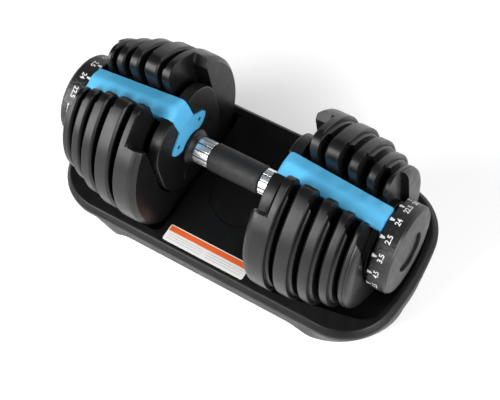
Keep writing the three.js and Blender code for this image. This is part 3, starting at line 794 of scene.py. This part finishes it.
def well_tool(grow):
    """The well for one end: a cone about the handle axis with a bowed, sloping outer end."""
    last = WELL_END + 3
    radius = WELL_RADIUS + grow

    def narrowed(x):
        return radius - WELL_SLOPE * (x - WELL_FLAT)

    cone = turned(rounded([(0, WELL_X - grow), (radius, WELL_X - grow, 7), (radius, WELL_FLAT, 40),
                           (narrowed(last), last), (0, last)]), 160)
    deep = 50
    bow = skin([[(WELL_END - WELL_BOW + (WELL_BOW + grow + WELL_END_SLOPE * h) * math.sin(a),
                  (WELL_BOW + grow + WELL_END_SLOPE * h) * math.cos(a), TRAY_TOP - AXIS + h)
                 for a in (math.tau * k / 360 for k in range(360))] for h in (-deep, 1)])

    fall = FLANK_GROWTH * grow

    def flank(side):
        def level(x, y):
            return TRAY_TOP - AXIS + FLANK_RUN * (x - FLANK_X) + FLANK_RISE * (y - FLANK_Y) - fall

        rows = [[(x, side * 8, -130), (x, side * 8, level(x, 8)), (x, side * 100, level(x, 100)),
                 (x, side * 100, -130)] for x in (FLANK_X + grow, last + 9)]
        return skin(rows)

    return moved(cut(cross(cone, bow), flank(1), flank(-1)), (0, 0, AXIS))


def blended(a, b, radius):
    """Of two distances out of two walls, the greater, with the corner between the walls rounded."""
    return min(max(a, b), -radius) + math.hypot(max(a + radius, 0), max(b + radius, 0))


def well_solid():
    """The visible well of one end, with round corners in plan, as a stack of level outlines."""
    top = TRAY_TOP - AXIS

    def outside(x, y, h):
        """How far a place lies out of the well; negative inside."""
        narrow = WELL_RADIUS - WELL_SLOPE * max(0, x - WELL_FLAT)
        side = math.hypot(y, h) - narrow
        rise = FLANK_RUN * (x - FLANK_X) + FLANK_RISE * (abs(y) - FLANK_Y)
        flank = (top - h + rise) / FLANK_SCALE - max(0, FLANK_X - x)
        end = math.hypot(x - WELL_END + WELL_BOW, y) - WELL_BOW - WELL_END_SLOPE * (h - top)
        walls = blended(max(side, flank), WELL_X - x, INNER_CORNER)
        return blended(walls, end * 0.6, OUTER_CORNER)

    rows = []
    deepest = WELL_RADIUS - 0.6
    for k in range(33):
        h = 1 + top - (deepest + top + 1) * math.sin(math.pi / 2 * k / 32)
        middle = WELL_FLAT - 12
        row = []
        for turn in (math.tau * j / 420 for j in range(420)):
            near, far = 0.0, 160.0
            for _ in range(24):
                half = (near + far) / 2
                if outside(middle + half * math.sin(turn), half * math.cos(turn), h) < 0:
                    near = half
                else:
                    far = half
            row.append((middle + near * math.sin(turn), near * math.cos(turn), h))
        rows.append(row)
    return moved(skin(rows), (0, 0, AXIS))


def keel_solid():
    """The keel that carries the plates of one end, cradled to their rims."""
    def under(x):
        return WELL_SLOPE * (max(x, WELL_FLAT) - WELL_FLAT) - WELL_RADIUS - WALL / 2

    side = [(WELL_X - 2, under(0)), (WELL_X - 2, -86), (125, -86), (144, -78), (162, -70), (164.5, -70),
            (164.5, -76), (KEEL_END, -76), (KEEL_END, under(KEEL_END)), (WELL_FLAT, under(0))]
    seats = []
    for index in range(PLATE_COUNT):
        x0, x1, radius = extent(f"plate_right_{index + 1}")
        seats.append(rod(radius + 0.3, x0 - 0.5, min(x1, KEEL_END) + 0.5, steps=160))
    return moved(cut(slab(side, -KEEL_HALF, KEEL_HALF), *seats), (0, 0, AXIS))


def arch_tool(inner):
    """Outline that cuts the skirt back between the feet, with an S-curve down to each foot."""
    rise = ARCH_HEIGHT - FOOT_Z
    curve = [(inner - ARCH_RUN * k / 12, FOOT_Z + rise * (1 - math.cos(math.pi * k / 12)) / 2)
             for k in range(13)]
    return [(-inner, -5), (inner, -5), *curve, *reversed([(-u, v) for u, v in curve])]


def tray_solid():
    """The whole moulding: a hollow shell with two wells, keels under the plates, and four feet."""
    rows = [skirt_row(1.1, FOOT_Z), skirt_row(0.3, FOOT_Z + 0.5), skirt_row(0, FOOT_Z + 1.4)]
    rows += [rim_row(inset, z) for inset, z in rounded(LIP, closed=False, steps=4)]
    hollow = skin([skirt_row(WALL, FOOT_Z - 1), rim_row(WALL + 3.6, TRAY_TOP - LIP_DROP),
                   rim_row(WALL + 1.4, TRAY_TOP - 11), rim_row(WALL + 5, TRAY_TOP - WALL)])
    posts = []
    for sx, sy in ((1, 1), (1, -1), (-1, 1), (-1, -1)):
        place = (sx * (SKIRT_HALF - POST_IN_X), sy * (SKIRT_SIDE - POST_IN_Y), 0)
        posts.append(moved(upright(rod(POST_RADIUS, FOOT_Z, FOOT_Z + 40)), place))
    well, well_below, keel = well_solid(), well_tool(WALL), keel_solid()
    hollow = cut(hollow, well_below, mirrored(well_below), *posts)
    body = join(cut(skin(rows), hollow, well, mirrored(well)), keel, mirrored(keel))
    far = TRAY_HALF + 20
    between = slab([(-far, -9), (far, -9), (far, 40), (-far, 40)], 9 - SKIRT_SIDE, SKIRT_SIDE - 9)
    front = cut(slab(arch_tool(SKIRT_HALF - FOOT_LENGTH), -far, far), between)
    core = prism([(-70, -9), (70, -9), (70, 60), (-70, 60)], 20 - SKIRT_HALF, SKIRT_HALF - 20)
    ends = cut(prism(arch_tool(SKIRT_SIDE - FOOT_WIDTH), -far, far), core)
    bottom, over = TRAY_TOP - RING_DEPTH, TRAY_TOP + 5
    groove = upright(turned([(RING_LOW, bottom), (RING_HIGH, bottom), (RING_HIGH, over), (RING_LOW, over)],
                            160))
    ledge, over = TRAY_TOP - STEP_DEPTH, TRAY_TOP + 1
    step = slab([(WELL_X - 5, over), (WELL_X - 5, TRAY_TOP), (WELL_X, ledge), (WELL_X + 9, ledge),
                 (WELL_X + 9, over)], -STEP_HALF, STEP_HALF)
    body = cut(body, front, ends, groove, step, mirrored(step))
    return softened(body, sizes().tray_edge / MM, least=28)


def pad_solid():
    low, high = corners("foot_pad_front_right")
    radius, height = (high.x - low.x) / 2, high.z - low.z
    return upright(turned(rounded([(0, 0), (radius - 1, 0, 0.6), (radius, height), (0, height)]), 64))


def sticker_solid():
    """A thin card with round corners, drawn in a little at its top edge."""
    low, high = corners("label_sticker")
    middle = (low + high) / 2
    plan = [(low.x, low.y), (high.x, low.y), (high.x, high.y), (low.x, high.y)]
    outline = rounded([(x, y, 2.4) for x, y in plan], steps=8)
    drawn_x, drawn_y = 0.0015, 0.007
    top = [(x * (1 - drawn_x) + middle.x * drawn_x, y * (1 - drawn_y) + middle.y * drawn_y, high.z)
           for x, y in outline]
    return skin([[(x, y, z) for x, y in outline] for z in (low.z, high.z - 0.1)] + [top])


# ---- finishes ----
def reckoned(nodes, links, operation, first, second):
    """A math node over two values; each is a number or another node's output."""
    node = nodes.new("ShaderNodeMath")
    node.operation = operation
    for place, value in zip(node.inputs, (first, second)):
        if isinstance(value, bpy.types.NodeSocket):
            links.new(value, place)
        else:
            place.default_value = value
    return node


class Finish:
    """A material whose colour, roughness and relief come from procedural noise."""

    def __init__(self, name, colour, roughness, metallic=0.0, shine=0.5):
        self.material = bpy.data.materials.new(name)
        self.material.use_nodes = True
        self.nodes = self.material.node_tree.nodes
        self.links = self.material.node_tree.links
        self.shader = self.nodes["Principled BSDF"]
        self.colour = tuple(colour)[:3]
        self.roughness = roughness
        self.shader.inputs["Base Color"].default_value = (*self.colour, 1)
        self.shader.inputs["Roughness"].default_value = roughness
        self.shader.inputs["Metallic"].default_value = metallic
        self.shader.inputs["Specular IOR Level"].default_value = shine
        self.relief = None
        self.place = self.nodes.new("ShaderNodeTexCoord").outputs["Object"]

    def noise(self, size, detail=4.0, stretch=None):
        """Noise whose blotches are about size millimetres across."""
        node = self.nodes.new("ShaderNodeTexNoise")
        node.inputs["Scale"].default_value = 1 / (size * MM)
        node.inputs["Detail"].default_value = detail
        source = self.place
        if stretch:
            mapping = self.nodes.new("ShaderNodeMapping")
            mapping.inputs["Scale"].default_value = stretch
            self.links.new(source, mapping.inputs["Vector"])
            source = mapping.outputs["Vector"]
        self.links.new(source, node.inputs["Vector"])
        return node.outputs["Fac"]

    def ramp(self, value, low, high, start=0.35, stop=0.65):
        """Two colours laid over a value."""
        node = self.nodes.new("ShaderNodeValToRGB")
        for element, place, tint in zip(node.color_ramp.elements, (start, stop), (low, high)):
            element.position = place
            element.color = (*tint, 1)
        self.links.new(value, node.inputs["Fac"])
        return node.outputs["Color"]

    def spread(self, value, low, high, start=0.3, stop=0.7):
        node = self.nodes.new("ShaderNodeMapRange")
        for name, amount in (("From Min", start), ("From Max", stop), ("To Min", low), ("To Max", high)):
            node.inputs[name].default_value = amount
        self.links.new(value, node.inputs["Value"])
        return node.outputs["Result"]

    def mottled(self, size, amount):
        """Colour that drifts between a little darker and a little lighter."""
        dark = [c * (1 - amount) for c in self.colour]
        light = [min(1, c * (1 + amount)) for c in self.colour]
        self.links.new(self.ramp(self.noise(size), dark, light), self.shader.inputs["Base Color"])
        return self

    def worn(self, size, amount, stretch=None):
        """Roughness that wanders by amount either way."""
        value = self.spread(self.noise(size, 5, stretch), self.roughness - amount, self.roughness + amount)
        self.links.new(value, self.shader.inputs["Roughness"])
        return self

    def grained(self, size, height, detail=3.0, strength=0.5, stretch=None):
        """A fine relief of the given height in millimetres."""
        bump = self.nodes.new("ShaderNodeBump")
        bump.inputs["Strength"].default_value = strength
        bump.inputs["Distance"].default_value = height * MM
        self.links.new(self.noise(size, detail, stretch), bump.inputs["Height"])
        if self.relief:
            self.links.new(self.relief, bump.inputs["Normal"])
        self.relief = bump.outputs["Normal"]
        self.links.new(self.relief, self.shader.inputs["Normal"])
        return self


def sticker_finish(white, band):
    """A white card with an orange band along its far side and faint grey ruled lines."""
    made = Finish("sticker_print", white, 0.42)
    low, high = corners("label_sticker")
    length, width = (high.x - low.x), (high.y - low.y)
    split = made.nodes.new("ShaderNodeSeparateXYZ")
    made.links.new(made.place, split.inputs["Vector"])
    along, across = split.outputs["X"], split.outputs["Y"]

    def step(operation, first, second):
        return reckoned(made.nodes, made.links, operation, first, second).outputs[0]

    def inside(value, start, stop):
        """One between two places along the tray or across it, in millimetres."""
        past = step("GREATER_THAN", value, start * MM)
        return step("MULTIPLY", past, step("LESS_THAN", value, stop * MM))

    def painted(under, tint, start_u, stop_u, start_v, stop_v):
        """An oblong of one tint over what is there; it is measured from the sticker's corner."""
        area = step("MULTIPLY", inside(along, low.x + start_u, low.x + stop_u),
                    inside(across, low.y + start_v, low.y + stop_v))
        mix = made.nodes.new("ShaderNodeMix")
        mix.data_type = "RGBA"
        made.links.new(area, mix.inputs["Factor"])
        if under is None:
            mix.inputs["A"].default_value = (*made.colour, 1)
        else:
            made.links.new(under, mix.inputs["A"])
        mix.inputs["B"].default_value = (*tint, 1)
        return mix.outputs["Result"]

    colour = painted(None, band, 1.2, length - 1.2, width * 0.62, width - 1.2)
    grey = (0.35, 0.35, 0.36)
    for row in (0.18, 0.32, 0.46):
        for start, stop in ((4, length * 0.46), (length * 0.52, length - 4)):
            colour = painted(colour, grey, start, stop, width * row, width * row + 0.45)
    made.links.new(colour, made.shader.inputs["Base Color"])
    return made.worn(6, 0.06).grained(0.9, 0.01).material


def finishes(colours):
    """Every finish, by the name of the slot or part that it belongs to."""
    made = {
        "tray_black": Finish("tray_moulding", colours.tray, 0.42, shine=0.27).mottled(28, 0.14)
        .worn(18, 0.07).grained(0.8, 0.05, strength=0.45),
        "plate_black": Finish("plate_moulding", colours.plate, 0.35, shine=0.36).mottled(22, 0.12)
        .worn(14, 0.06).grained(1.0, 0.03, strength=0.3),
        "dial_black": Finish("dial_moulding", colours.dial, 0.42).mottled(16, 0.1).worn(10, 0.06)
        .grained(0.8, 0.03, strength=0.35),
        "dial_grey": Finish("dial_disc_moulding", colours.cap, 0.4, shine=0.36).mottled(14, 0.08)
        .worn(9, 0.05).grained(0.8, 0.03, strength=0.3),
        "grip_black": Finish("grip_rubber", colours.grip, 0.62).mottled(7, 0.16).worn(6, 0.08)
        .grained(0.7, 0.12, strength=0.6).grained(3.5, 0.08, strength=0.35),
        "bracket_blue": Finish("bracket_paint", colours.bracket, 0.5).mottled(30, 0.03).worn(20, 0.04)
        .grained(1.6, 0.015, strength=0.2),
        "ear_black": Finish("black_paint", colours.housing, 0.42, shine=0.4).mottled(15, 0.12).worn(10, 0.06)
        .grained(1.0, 0.03, strength=0.3),
        "ferrule_chrome": Finish("polished_chrome", (0.9, 0.905, 0.915), 0.24, 0.75).mottled(12, 0.03)
        .worn(8, 0.02).grained(4, 0.008, detail=1, strength=0.04),
        "steel": Finish("turned_steel", (0.5, 0.51, 0.53), 0.32, 1.0).mottled(10, 0.08)
        .worn(4, 0.07, (0.3, 1, 1)).grained(0.6, 0.02, strength=0.3, stretch=(1, 0.1, 0.1)),
        # this dark finish is for the real dark steel parts, and also for the painted shade strips in the
        # chrome grooves
        "dark_steel": Finish("blackened_steel_and_groove_shade", (0.035, 0.036, 0.038), 0.4, 0.8).mottled(9, 0.15)
        .worn(7, 0.08).grained(0.8, 0.02, strength=0.3),
        "pad_rubber": Finish("pad_rubber", (0.012, 0.012, 0.012), 0.8).mottled(5, 0.2).worn(5, 0.08)
        .grained(0.6, 0.06),
        "number_white": Finish("number_print", (0.86, 0.86, 0.85), 0.5).mottled(3, 0.05).worn(3, 0.05)
        .grained(0.5, 0.01),
    }
    found = {name: finish.material for name, finish in made.items()}
    found["label_white"] = sticker_finish((0.78, 0.77, 0.75), colours.band)
    return found


# ---- placing pieces ----
MATERIALS = {}  # finishes by slot name, filled by main or by the first operator that needs them


def finish_of(slot):
    if not MATERIALS:
        MATERIALS.update(finishes(bpy.context.scene.dumbbell_colours))
    return MATERIALS[slot]


def piece(bm, name, body, slot, nodes=(), turn=0.0, height=None, crease=35, finish=None):
    """A named object from a solid in millimetres, riding on a body and standing for CAD nodes."""
    made = bm.copy()
    height = AXIS if height is None else height
    made.transform(Matrix.Translation((0, 0, height * MM)) @ Matrix.Rotation(turn, 4, "Z")
                   @ Matrix.Scale(MM, 4))
    mesh = meshed(made, name)
    if not mesh.polygons:
        raise RuntimeError(f"{name} has no faces")
    mesh.shade_smooth()
    mesh.set_sharp_from_angle(angle=math.radians(crease))
    mesh.materials.append(finish_of(finish or slot))
    obj = shown(mesh, name)
    even = obj.modifiers.new("even_shading", "WEIGHTED_NORMAL")
    even.keep_sharp = True
    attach(obj, body)
    if nodes:
        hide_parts(*nodes)
    return obj


def both_ends(bm, name, body, slot, node=None, **more):
    """The same solid at the right end and, turned half round, at the left end."""
    for side, turn in SIDES:
        nodes = [node.format(side=side)] if node else ()
        piece(bm, name.format(side=side), body.format(side=side), slot, nodes, turn, **more)
    bm.free()


# ---- properties ----
def shade(name, description, default):
    return bpy.props.FloatVectorProperty(name=name, description=description, default=default, size=3,
                                         subtype="COLOR", min=0, max=1)


def measure(name, description, default, low, high):
    """A length property; its default and limits are in millimetres."""
    return bpy.props.FloatProperty(name=name, description=description, default=default * MM, min=low * MM,
                                   max=high * MM, unit="LENGTH", subtype="DISTANCE")


class DumbbellColours(bpy.types.PropertyGroup):
    bracket: shade("Bracket paint", "Colour of the two roof-shaped brackets", (0.10, 0.50, 0.84))
    plate: shade("Plates", "Colour of the weight plates", (0.008, 0.008, 0.0082))
    tray: shade("Tray", "Colour of the moulded tray", (0.0055, 0.0055, 0.0057))
    dial: shade("Dials", "Colour of the number wheels", (0.012, 0.012, 0.0124))
    cap: shade("Dial discs", "Colour of the disc in the middle of each number wheel", (0.014, 0.014, 0.0147))
    grip: shade("Grip", "Colour of the soft grip", (0.012, 0.012, 0.0124))
    housing: shade("Housings", "Colour of the end housings, collars and lower ears", (0.007, 0.007, 0.0073))
    band: shade("Sticker band", "Colour of the band along the sticker", (0.80, 0.125, 0.022))


class DumbbellSizes(bpy.types.PropertyGroup):
    number_height: measure("Number height", "Height of the numbers on the dials", 5.9, 2, 12)
    groove_depth: measure("Ring depth", "Depth of the round groove about each number", 0.35, 0, 1)
    plate_edge: measure("Plate edge", "Rounding of the inner edges of the plates", 0.9, 0.2, 1.5)
    tray_edge: measure("Tray edge", "Rounding of the edges of the tray", 0.9, 0.2, 1.5)


class DumbbellStage(bpy.types.PropertyGroup):
    azimuth: bpy.props.FloatProperty(
        name="Camera azimuth", description="Turn of the camera round the object from its front",
        default=VIEW_AZIMUTH, subtype="ANGLE")
    elevation: bpy.props.FloatProperty(
        name="Camera height", description="Angle of the camera over the floor", default=VIEW_ELEVATION,
        subtype="ANGLE")
    distance: bpy.props.FloatProperty(
        name="Camera distance", description="From the camera to the handle axis", default=VIEW_DISTANCE,
        min=0.5, max=5, unit="LENGTH", subtype="DISTANCE")
    brightness: bpy.props.FloatProperty(
        name="Lamps", description="Strength of all the lamps together", default=1.0, min=0.1, max=4,
        subtype="FACTOR")


# ---- operators ----
class MakeTray(bpy.types.Operator):
    """Moulded storage tray with its lip, wells, keels and feet"""
    bl_idname = "dumbbell.make_tray"
    bl_label = "Tray"

    def execute(self, context):
        piece(tray_solid(), "storage_tray", "tray", "tray_black", ["tray"], height=0, crease=32)
        return {"FINISHED"}


class MakePads(bpy.types.Operator):
    """Four rubber pads under the tray"""
    bl_idname = "dumbbell.make_pads"
    bl_label = "Foot pads"

    def execute(self, context):
        for row in ("front", "rear"):
            for side, _ in SIDES:
                node = f"foot_pad_{row}_{side}"
                low, high = corners(node)
                pad = moved(pad_solid(), ((low.x + high.x) / 2, (low.y + high.y) / 2, low.z))
                piece(pad, f"rubber_pad_{row}_{side}", "tray", "pad_rubber", [node], height=0)
        return {"FINISHED"}


class MakeSticker(bpy.types.Operator):
    """Blank sticker with a coloured band and ruled lines"""
    bl_idname = "dumbbell.make_sticker"
    bl_label = "Sticker"

    def execute(self, context):
        piece(sticker_solid(), "sticker", "tray", "label_white", ["label_sticker"], height=0, crease=50)
        return {"FINISHED"}


class MakeHandle(bpy.types.Operator):
    """Grip, grooved chrome rings and collars"""
    bl_idname = "dumbbell.make_handle"
    bl_label = "Handle"

    def execute(self, context):
        piece(grip_solid(), "grip_sleeve", "handle", "grip_black", ["grip"])
        both_ends(ferrule_solid(), "chrome_ring_{side}", "handle", "ferrule_chrome", "ferrule_{side}")
        # dark strips that paint shade into the bottoms of the chrome grooves
        both_ends(painted_groove_shade(), "painted_groove_shade_{side}", "handle", "dark_steel")
        both_ends(collar_solid(), "shaped_collar_{side}", "handle", "ear_black", "collar_{side}")
        return {"FINISHED"}


class MakeBrackets(bpy.types.Operator):
    """Blue sheet brackets and the black ears below them, with their screws"""
    bl_idname = "dumbbell.make_brackets"
    bl_label = "Brackets and ears"

    def execute(self, context):
        both_ends(bracket_solid(), "roof_bracket_{side}", "handle", "bracket_blue", "bracket_{side}",
                  crease=40)
        both_ends(lower_ear_solid(), "lower_ear_plate_{side}", "handle", "ear_black", "lower_ears_{side}")
        for number in range(1, 5):
            low, high = corners(f"ear_screw_right_{number}")
            screw = moved(screw_solid(), (0, (low.y + high.y) / 2, (low.z + high.z) / 2 - AXIS))
            both_ends(screw, f"socket_screw_{{side}}_{number}", "handle", "dark_steel",
                      f"ear_screw_{{side}}_{number}")
        return {"FINISHED"}


class MakeHousings(bpy.types.Operator):
    """Black end housings between the grip and the plates"""
    bl_idname = "dumbbell.make_housings"
    bl_label = "End housings"

    def execute(self, context):
        both_ends(housing_solid(), "rounded_housing_{side}", "handle", "ear_black", "end_housing_{side}")
        return {"FINISHED"}


class MakePlates(bpy.types.Operator):
    """Five slotted weight plates at each end"""
    bl_idname = "dumbbell.make_plates"
    bl_label = "Weight plates"

    def execute(self, context):
        for index in range(PLATE_COUNT):
            number = index + 1
            both_ends(plate_solid(index), f"weight_plate_{{side}}_{number}", f"weight_{{side}}_{number}",
                      "plate_black", f"plate_{{side}}_{number}", crease=32)
        return {"FINISHED"}


class MakeDiscs(bpy.types.Operator):
    """Selector discs that hook the plates"""
    bl_idname = "dumbbell.make_discs"
    bl_label = "Selector discs"

    def execute(self, context):
        for index in range(PLATE_COUNT):
            number = index + 1
            both_ends(disc_solid(index), f"hook_disc_{{side}}_{number}", "dial_{side}", "dark_steel",
                      f"selector_disc_{{side}}_{number}")
        return {"FINISHED"}


class MakeDials(bpy.types.Operator):
    """Number wheels, the discs in their faces and the printed numbers"""
    bl_idname = "dumbbell.make_dials"
    bl_label = "Dials"

    def execute(self, context):
        both_ends(dial_solid(), "number_wheel_{side}", "dial_{side}", "dial_black", "dial_{side}")
        both_ends(cap_solid(), "wheel_disc_{side}", "dial_{side}", "dial_grey", "dial_cap_{side}")
        both_ends(dial_marks(), "wheel_numbers_{side}", "dial_{side}", "label_white", finish="number_white")
        return {"FINISHED"}


class FinishInnerParts(bpy.types.Operator):
    """Finishes of the tube, shaft, nuts, sleeves and plungers inside the handle"""
    bl_idname = "dumbbell.finish_inner_parts"
    bl_label = "Inner parts"

    def execute(self, context):
        inner = {"handle_tube": "steel", "centre_shaft": "steel"}
        for side, _ in SIDES:
            inner[f"end_nut_{side}"] = "steel"
            inner[f"detent_plunger_{side}"] = "steel"
            inner[f"hub_sleeve_{side}"] = "dark_steel"
        for node, slot in inner.items():
            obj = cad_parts[node]
            for place in obj.material_slots:
                place.link = "OBJECT"
                place.material = finish_of(slot)
        return {"FINISHED"}


class MakeStage(bpy.types.Operator):
    """Floor, world, soft lamps and the camera"""
    bl_idname = "dumbbell.make_stage"
    bl_label = "Stage"

    def execute(self, context):
        make_floor()
        make_world(context.scene)
        make_lamps(context.scene.dumbbell_stage.brightness)
        make_camera(context.scene)
        context.scene.view_settings.view_transform = "Standard"
        return {"FINISHED"}


# ---- stage, in metres and watts ----
BACKDROP = {"radius": 14.0, "height": 4.0, "floor_glow": 0.46}
GLOW_FROM, GLOW_TO = 0.7, 2.6  # distances from the origin between which the glow rises
PAPER_COLOUR = (0.72, 0.72, 0.72, 1)
WORLD_STRENGTH = 0.06
LAMPS = (  # name, place, size, power
    ("front_left", (-0.9, -1.3, 1.2), 1.3, 48.0),
    ("right", (1.5, -0.5, 1.0), 1.1, 30.0),
    ("rear", (0.5, 1.5, 1.1), 1.0, 8.0),
)


def seen(nodes, links):
    """One for rays that come from the camera, a mirror or glass."""
    path = nodes.new("ShaderNodeLightPath")
    total = path.outputs["Is Camera Ray"]
    for other in ("Is Glossy Ray", "Is Transmission Ray"):
        add = reckoned(nodes, links, "ADD", total, path.outputs[other])
        add.use_clamp = True
        total = add.outputs[0]
    return total


def paper(name, glow):
    """White paper that catches shadows; its glow only reaches rays that come straight from the
    camera, a mirror or glass. The glow rises to full white farther out, where the lamps'
    light has faded."""
    material = bpy.data.materials.new(name)
    material.use_nodes = True
    nodes, links = material.node_tree.nodes, material.node_tree.links
    nodes.clear()
    kinds = ("BsdfDiffuse", "Emission", "AddShader", "OutputMaterial")
    matt, light, both, output = (nodes.new(f"ShaderNode{kind}") for kind in kinds)
    matt.inputs["Color"].default_value = PAPER_COLOUR
    place = nodes.new("ShaderNodeTexCoord")
    distance = nodes.new("ShaderNodeVectorMath")
    distance.operation = "LENGTH"
    links.new(place.outputs["Object"], distance.inputs[0])
    rise = nodes.new("ShaderNodeMapRange")
    limits = (("From Min", GLOW_FROM), ("From Max", GLOW_TO), ("To Min", glow), ("To Max", 1.0))
    for name, amount in limits:
        rise.inputs[name].default_value = amount
    links.new(distance.outputs["Value"], rise.inputs["Value"])
    share = reckoned(nodes, links, "MULTIPLY", seen(nodes, links), rise.outputs["Result"])
    links.new(share.outputs[0], light.inputs["Strength"])
    links.new(matt.outputs[0], both.inputs[0])
    links.new(light.outputs[0], both.inputs[1])
    links.new(both.outputs[0], output.inputs["Surface"])
    return material


def staged(bm, name, material):
    """A piece of the stage, which is no part of the object."""
    mesh = meshed(bm, name)
    mesh.materials.append(material)
    made = shown(mesh, name)


def make_floor():
    """A wide paper floor with a low round wall far behind it."""
    floor = bmesh.new()
    bmesh.ops.create_grid(floor, x_segments=1, y_segments=1, size=BACKDROP["radius"] + 1)
    staged(floor, "floor", paper("floor_paper", BACKDROP["floor_glow"]))
    wall = bmesh.new()
    bmesh.ops.create_cone(wall, segments=96, radius1=BACKDROP["radius"], radius2=BACKDROP["radius"],
                          depth=BACKDROP["height"])
    staged(moved(wall, (0, 0, BACKDROP["height"] / 2 - 0.01)), "backdrop", paper("backdrop_paper", 1.0))


def make_world(scene):
    world = bpy.data.worlds.new("studio")
    scene.world = world
    world.use_nodes = True
    background = world.node_tree.nodes["Background"]
    background.inputs["Color"].default_value = (1, 1, 1, 1)
    background.inputs["Strength"].default_value = WORLD_STRENGTH


def make_lamps(brightness):
    """Square soft lamps, each turned to the middle of the handle."""
    for name, place, size, power in LAMPS:
        light = bpy.data.lights.new(name, "AREA")
        light.shape = "SQUARE"
        light.size = size
        light.energy = power * brightness
        lamp = shown(light, name)
        lamp.location = place
        aim = Vector((0, 0, AXIS * MM)) - Vector(place)
        lamp.rotation_euler = aim.to_track_quat("-Z", "Y").to_euler()


def make_camera(scene):
    """The camera at its distance from the handle's middle, rolled and shifted in its own plane."""
    stage = scene.dumbbell_stage
    az, el = stage.azimuth, stage.elevation
    back = Vector((math.sin(az) * math.cos(el), -math.cos(az) * math.cos(el), math.sin(el)))
    level = Vector((math.cos(az), math.sin(az), 0))
    over = back.cross(level)
    right = math.cos(VIEW_ROLL) * level + math.sin(VIEW_ROLL) * over
    up = -math.sin(VIEW_ROLL) * level + math.cos(VIEW_ROLL) * over
    place = back * stage.distance + right * VIEW_SHIFT[0] + up * VIEW_SHIFT[1] + Vector((0, 0, AXIS * MM))
    data = bpy.data.cameras.new("camera")
    data.lens, data.sensor_width = LENS, SENSOR
    camera = shown(data, "camera")
    turn = Matrix((right, up, back)).transposed().to_4x4()
    camera.matrix_world = Matrix.Translation(place) @ turn
    scene.camera = camera


PIECES = (MakeTray, MakePads, MakeSticker, MakeHandle, MakeBrackets, MakeHousings, MakePlates, MakeDiscs,
          MakeDials, FinishInnerParts, MakeStage)


class DumbbellPanel(bpy.types.Panel):
    """Buttons for each group of pieces, and their sizes and colours"""
    bl_idname = "VIEW3D_PT_dumbbell"
    bl_label = "Dumbbell in its tray"
    bl_space_type = "VIEW_3D"
    bl_region_type = "UI"
    bl_category = "Dumbbell"

    def draw(self, context):
        layout = self.layout
        for operator in PIECES:
            layout.operator(operator.bl_idname)
        for group in (context.scene.dumbbell_sizes, context.scene.dumbbell_colours,
                      context.scene.dumbbell_stage):
            box = layout.box()
            for name in group.__annotations__:
                box.prop(group, name)


CLASSES = (DumbbellColours, DumbbellSizes, DumbbellStage, *PIECES, DumbbellPanel)


def register():
    for cls in CLASSES:
        bpy.utils.register_class(cls)
    bpy.types.Scene.dumbbell_colours = bpy.props.PointerProperty(type=DumbbellColours)
    bpy.types.Scene.dumbbell_sizes = bpy.props.PointerProperty(type=DumbbellSizes)
    bpy.types.Scene.dumbbell_stage = bpy.props.PointerProperty(type=DumbbellStage)


def unregister():
    for name in ("dumbbell_colours", "dumbbell_sizes", "dumbbell_stage"):
        delattr(bpy.types.Scene, name)
    for cls in reversed(CLASSES):
        bpy.utils.unregister_class(cls)


def main():
    register()
    for operator in PIECES:
        group, call = operator.bl_idname.split(".")
        getattr(getattr(bpy.ops, group), call)()


if __name__ == "__main__":
    main()
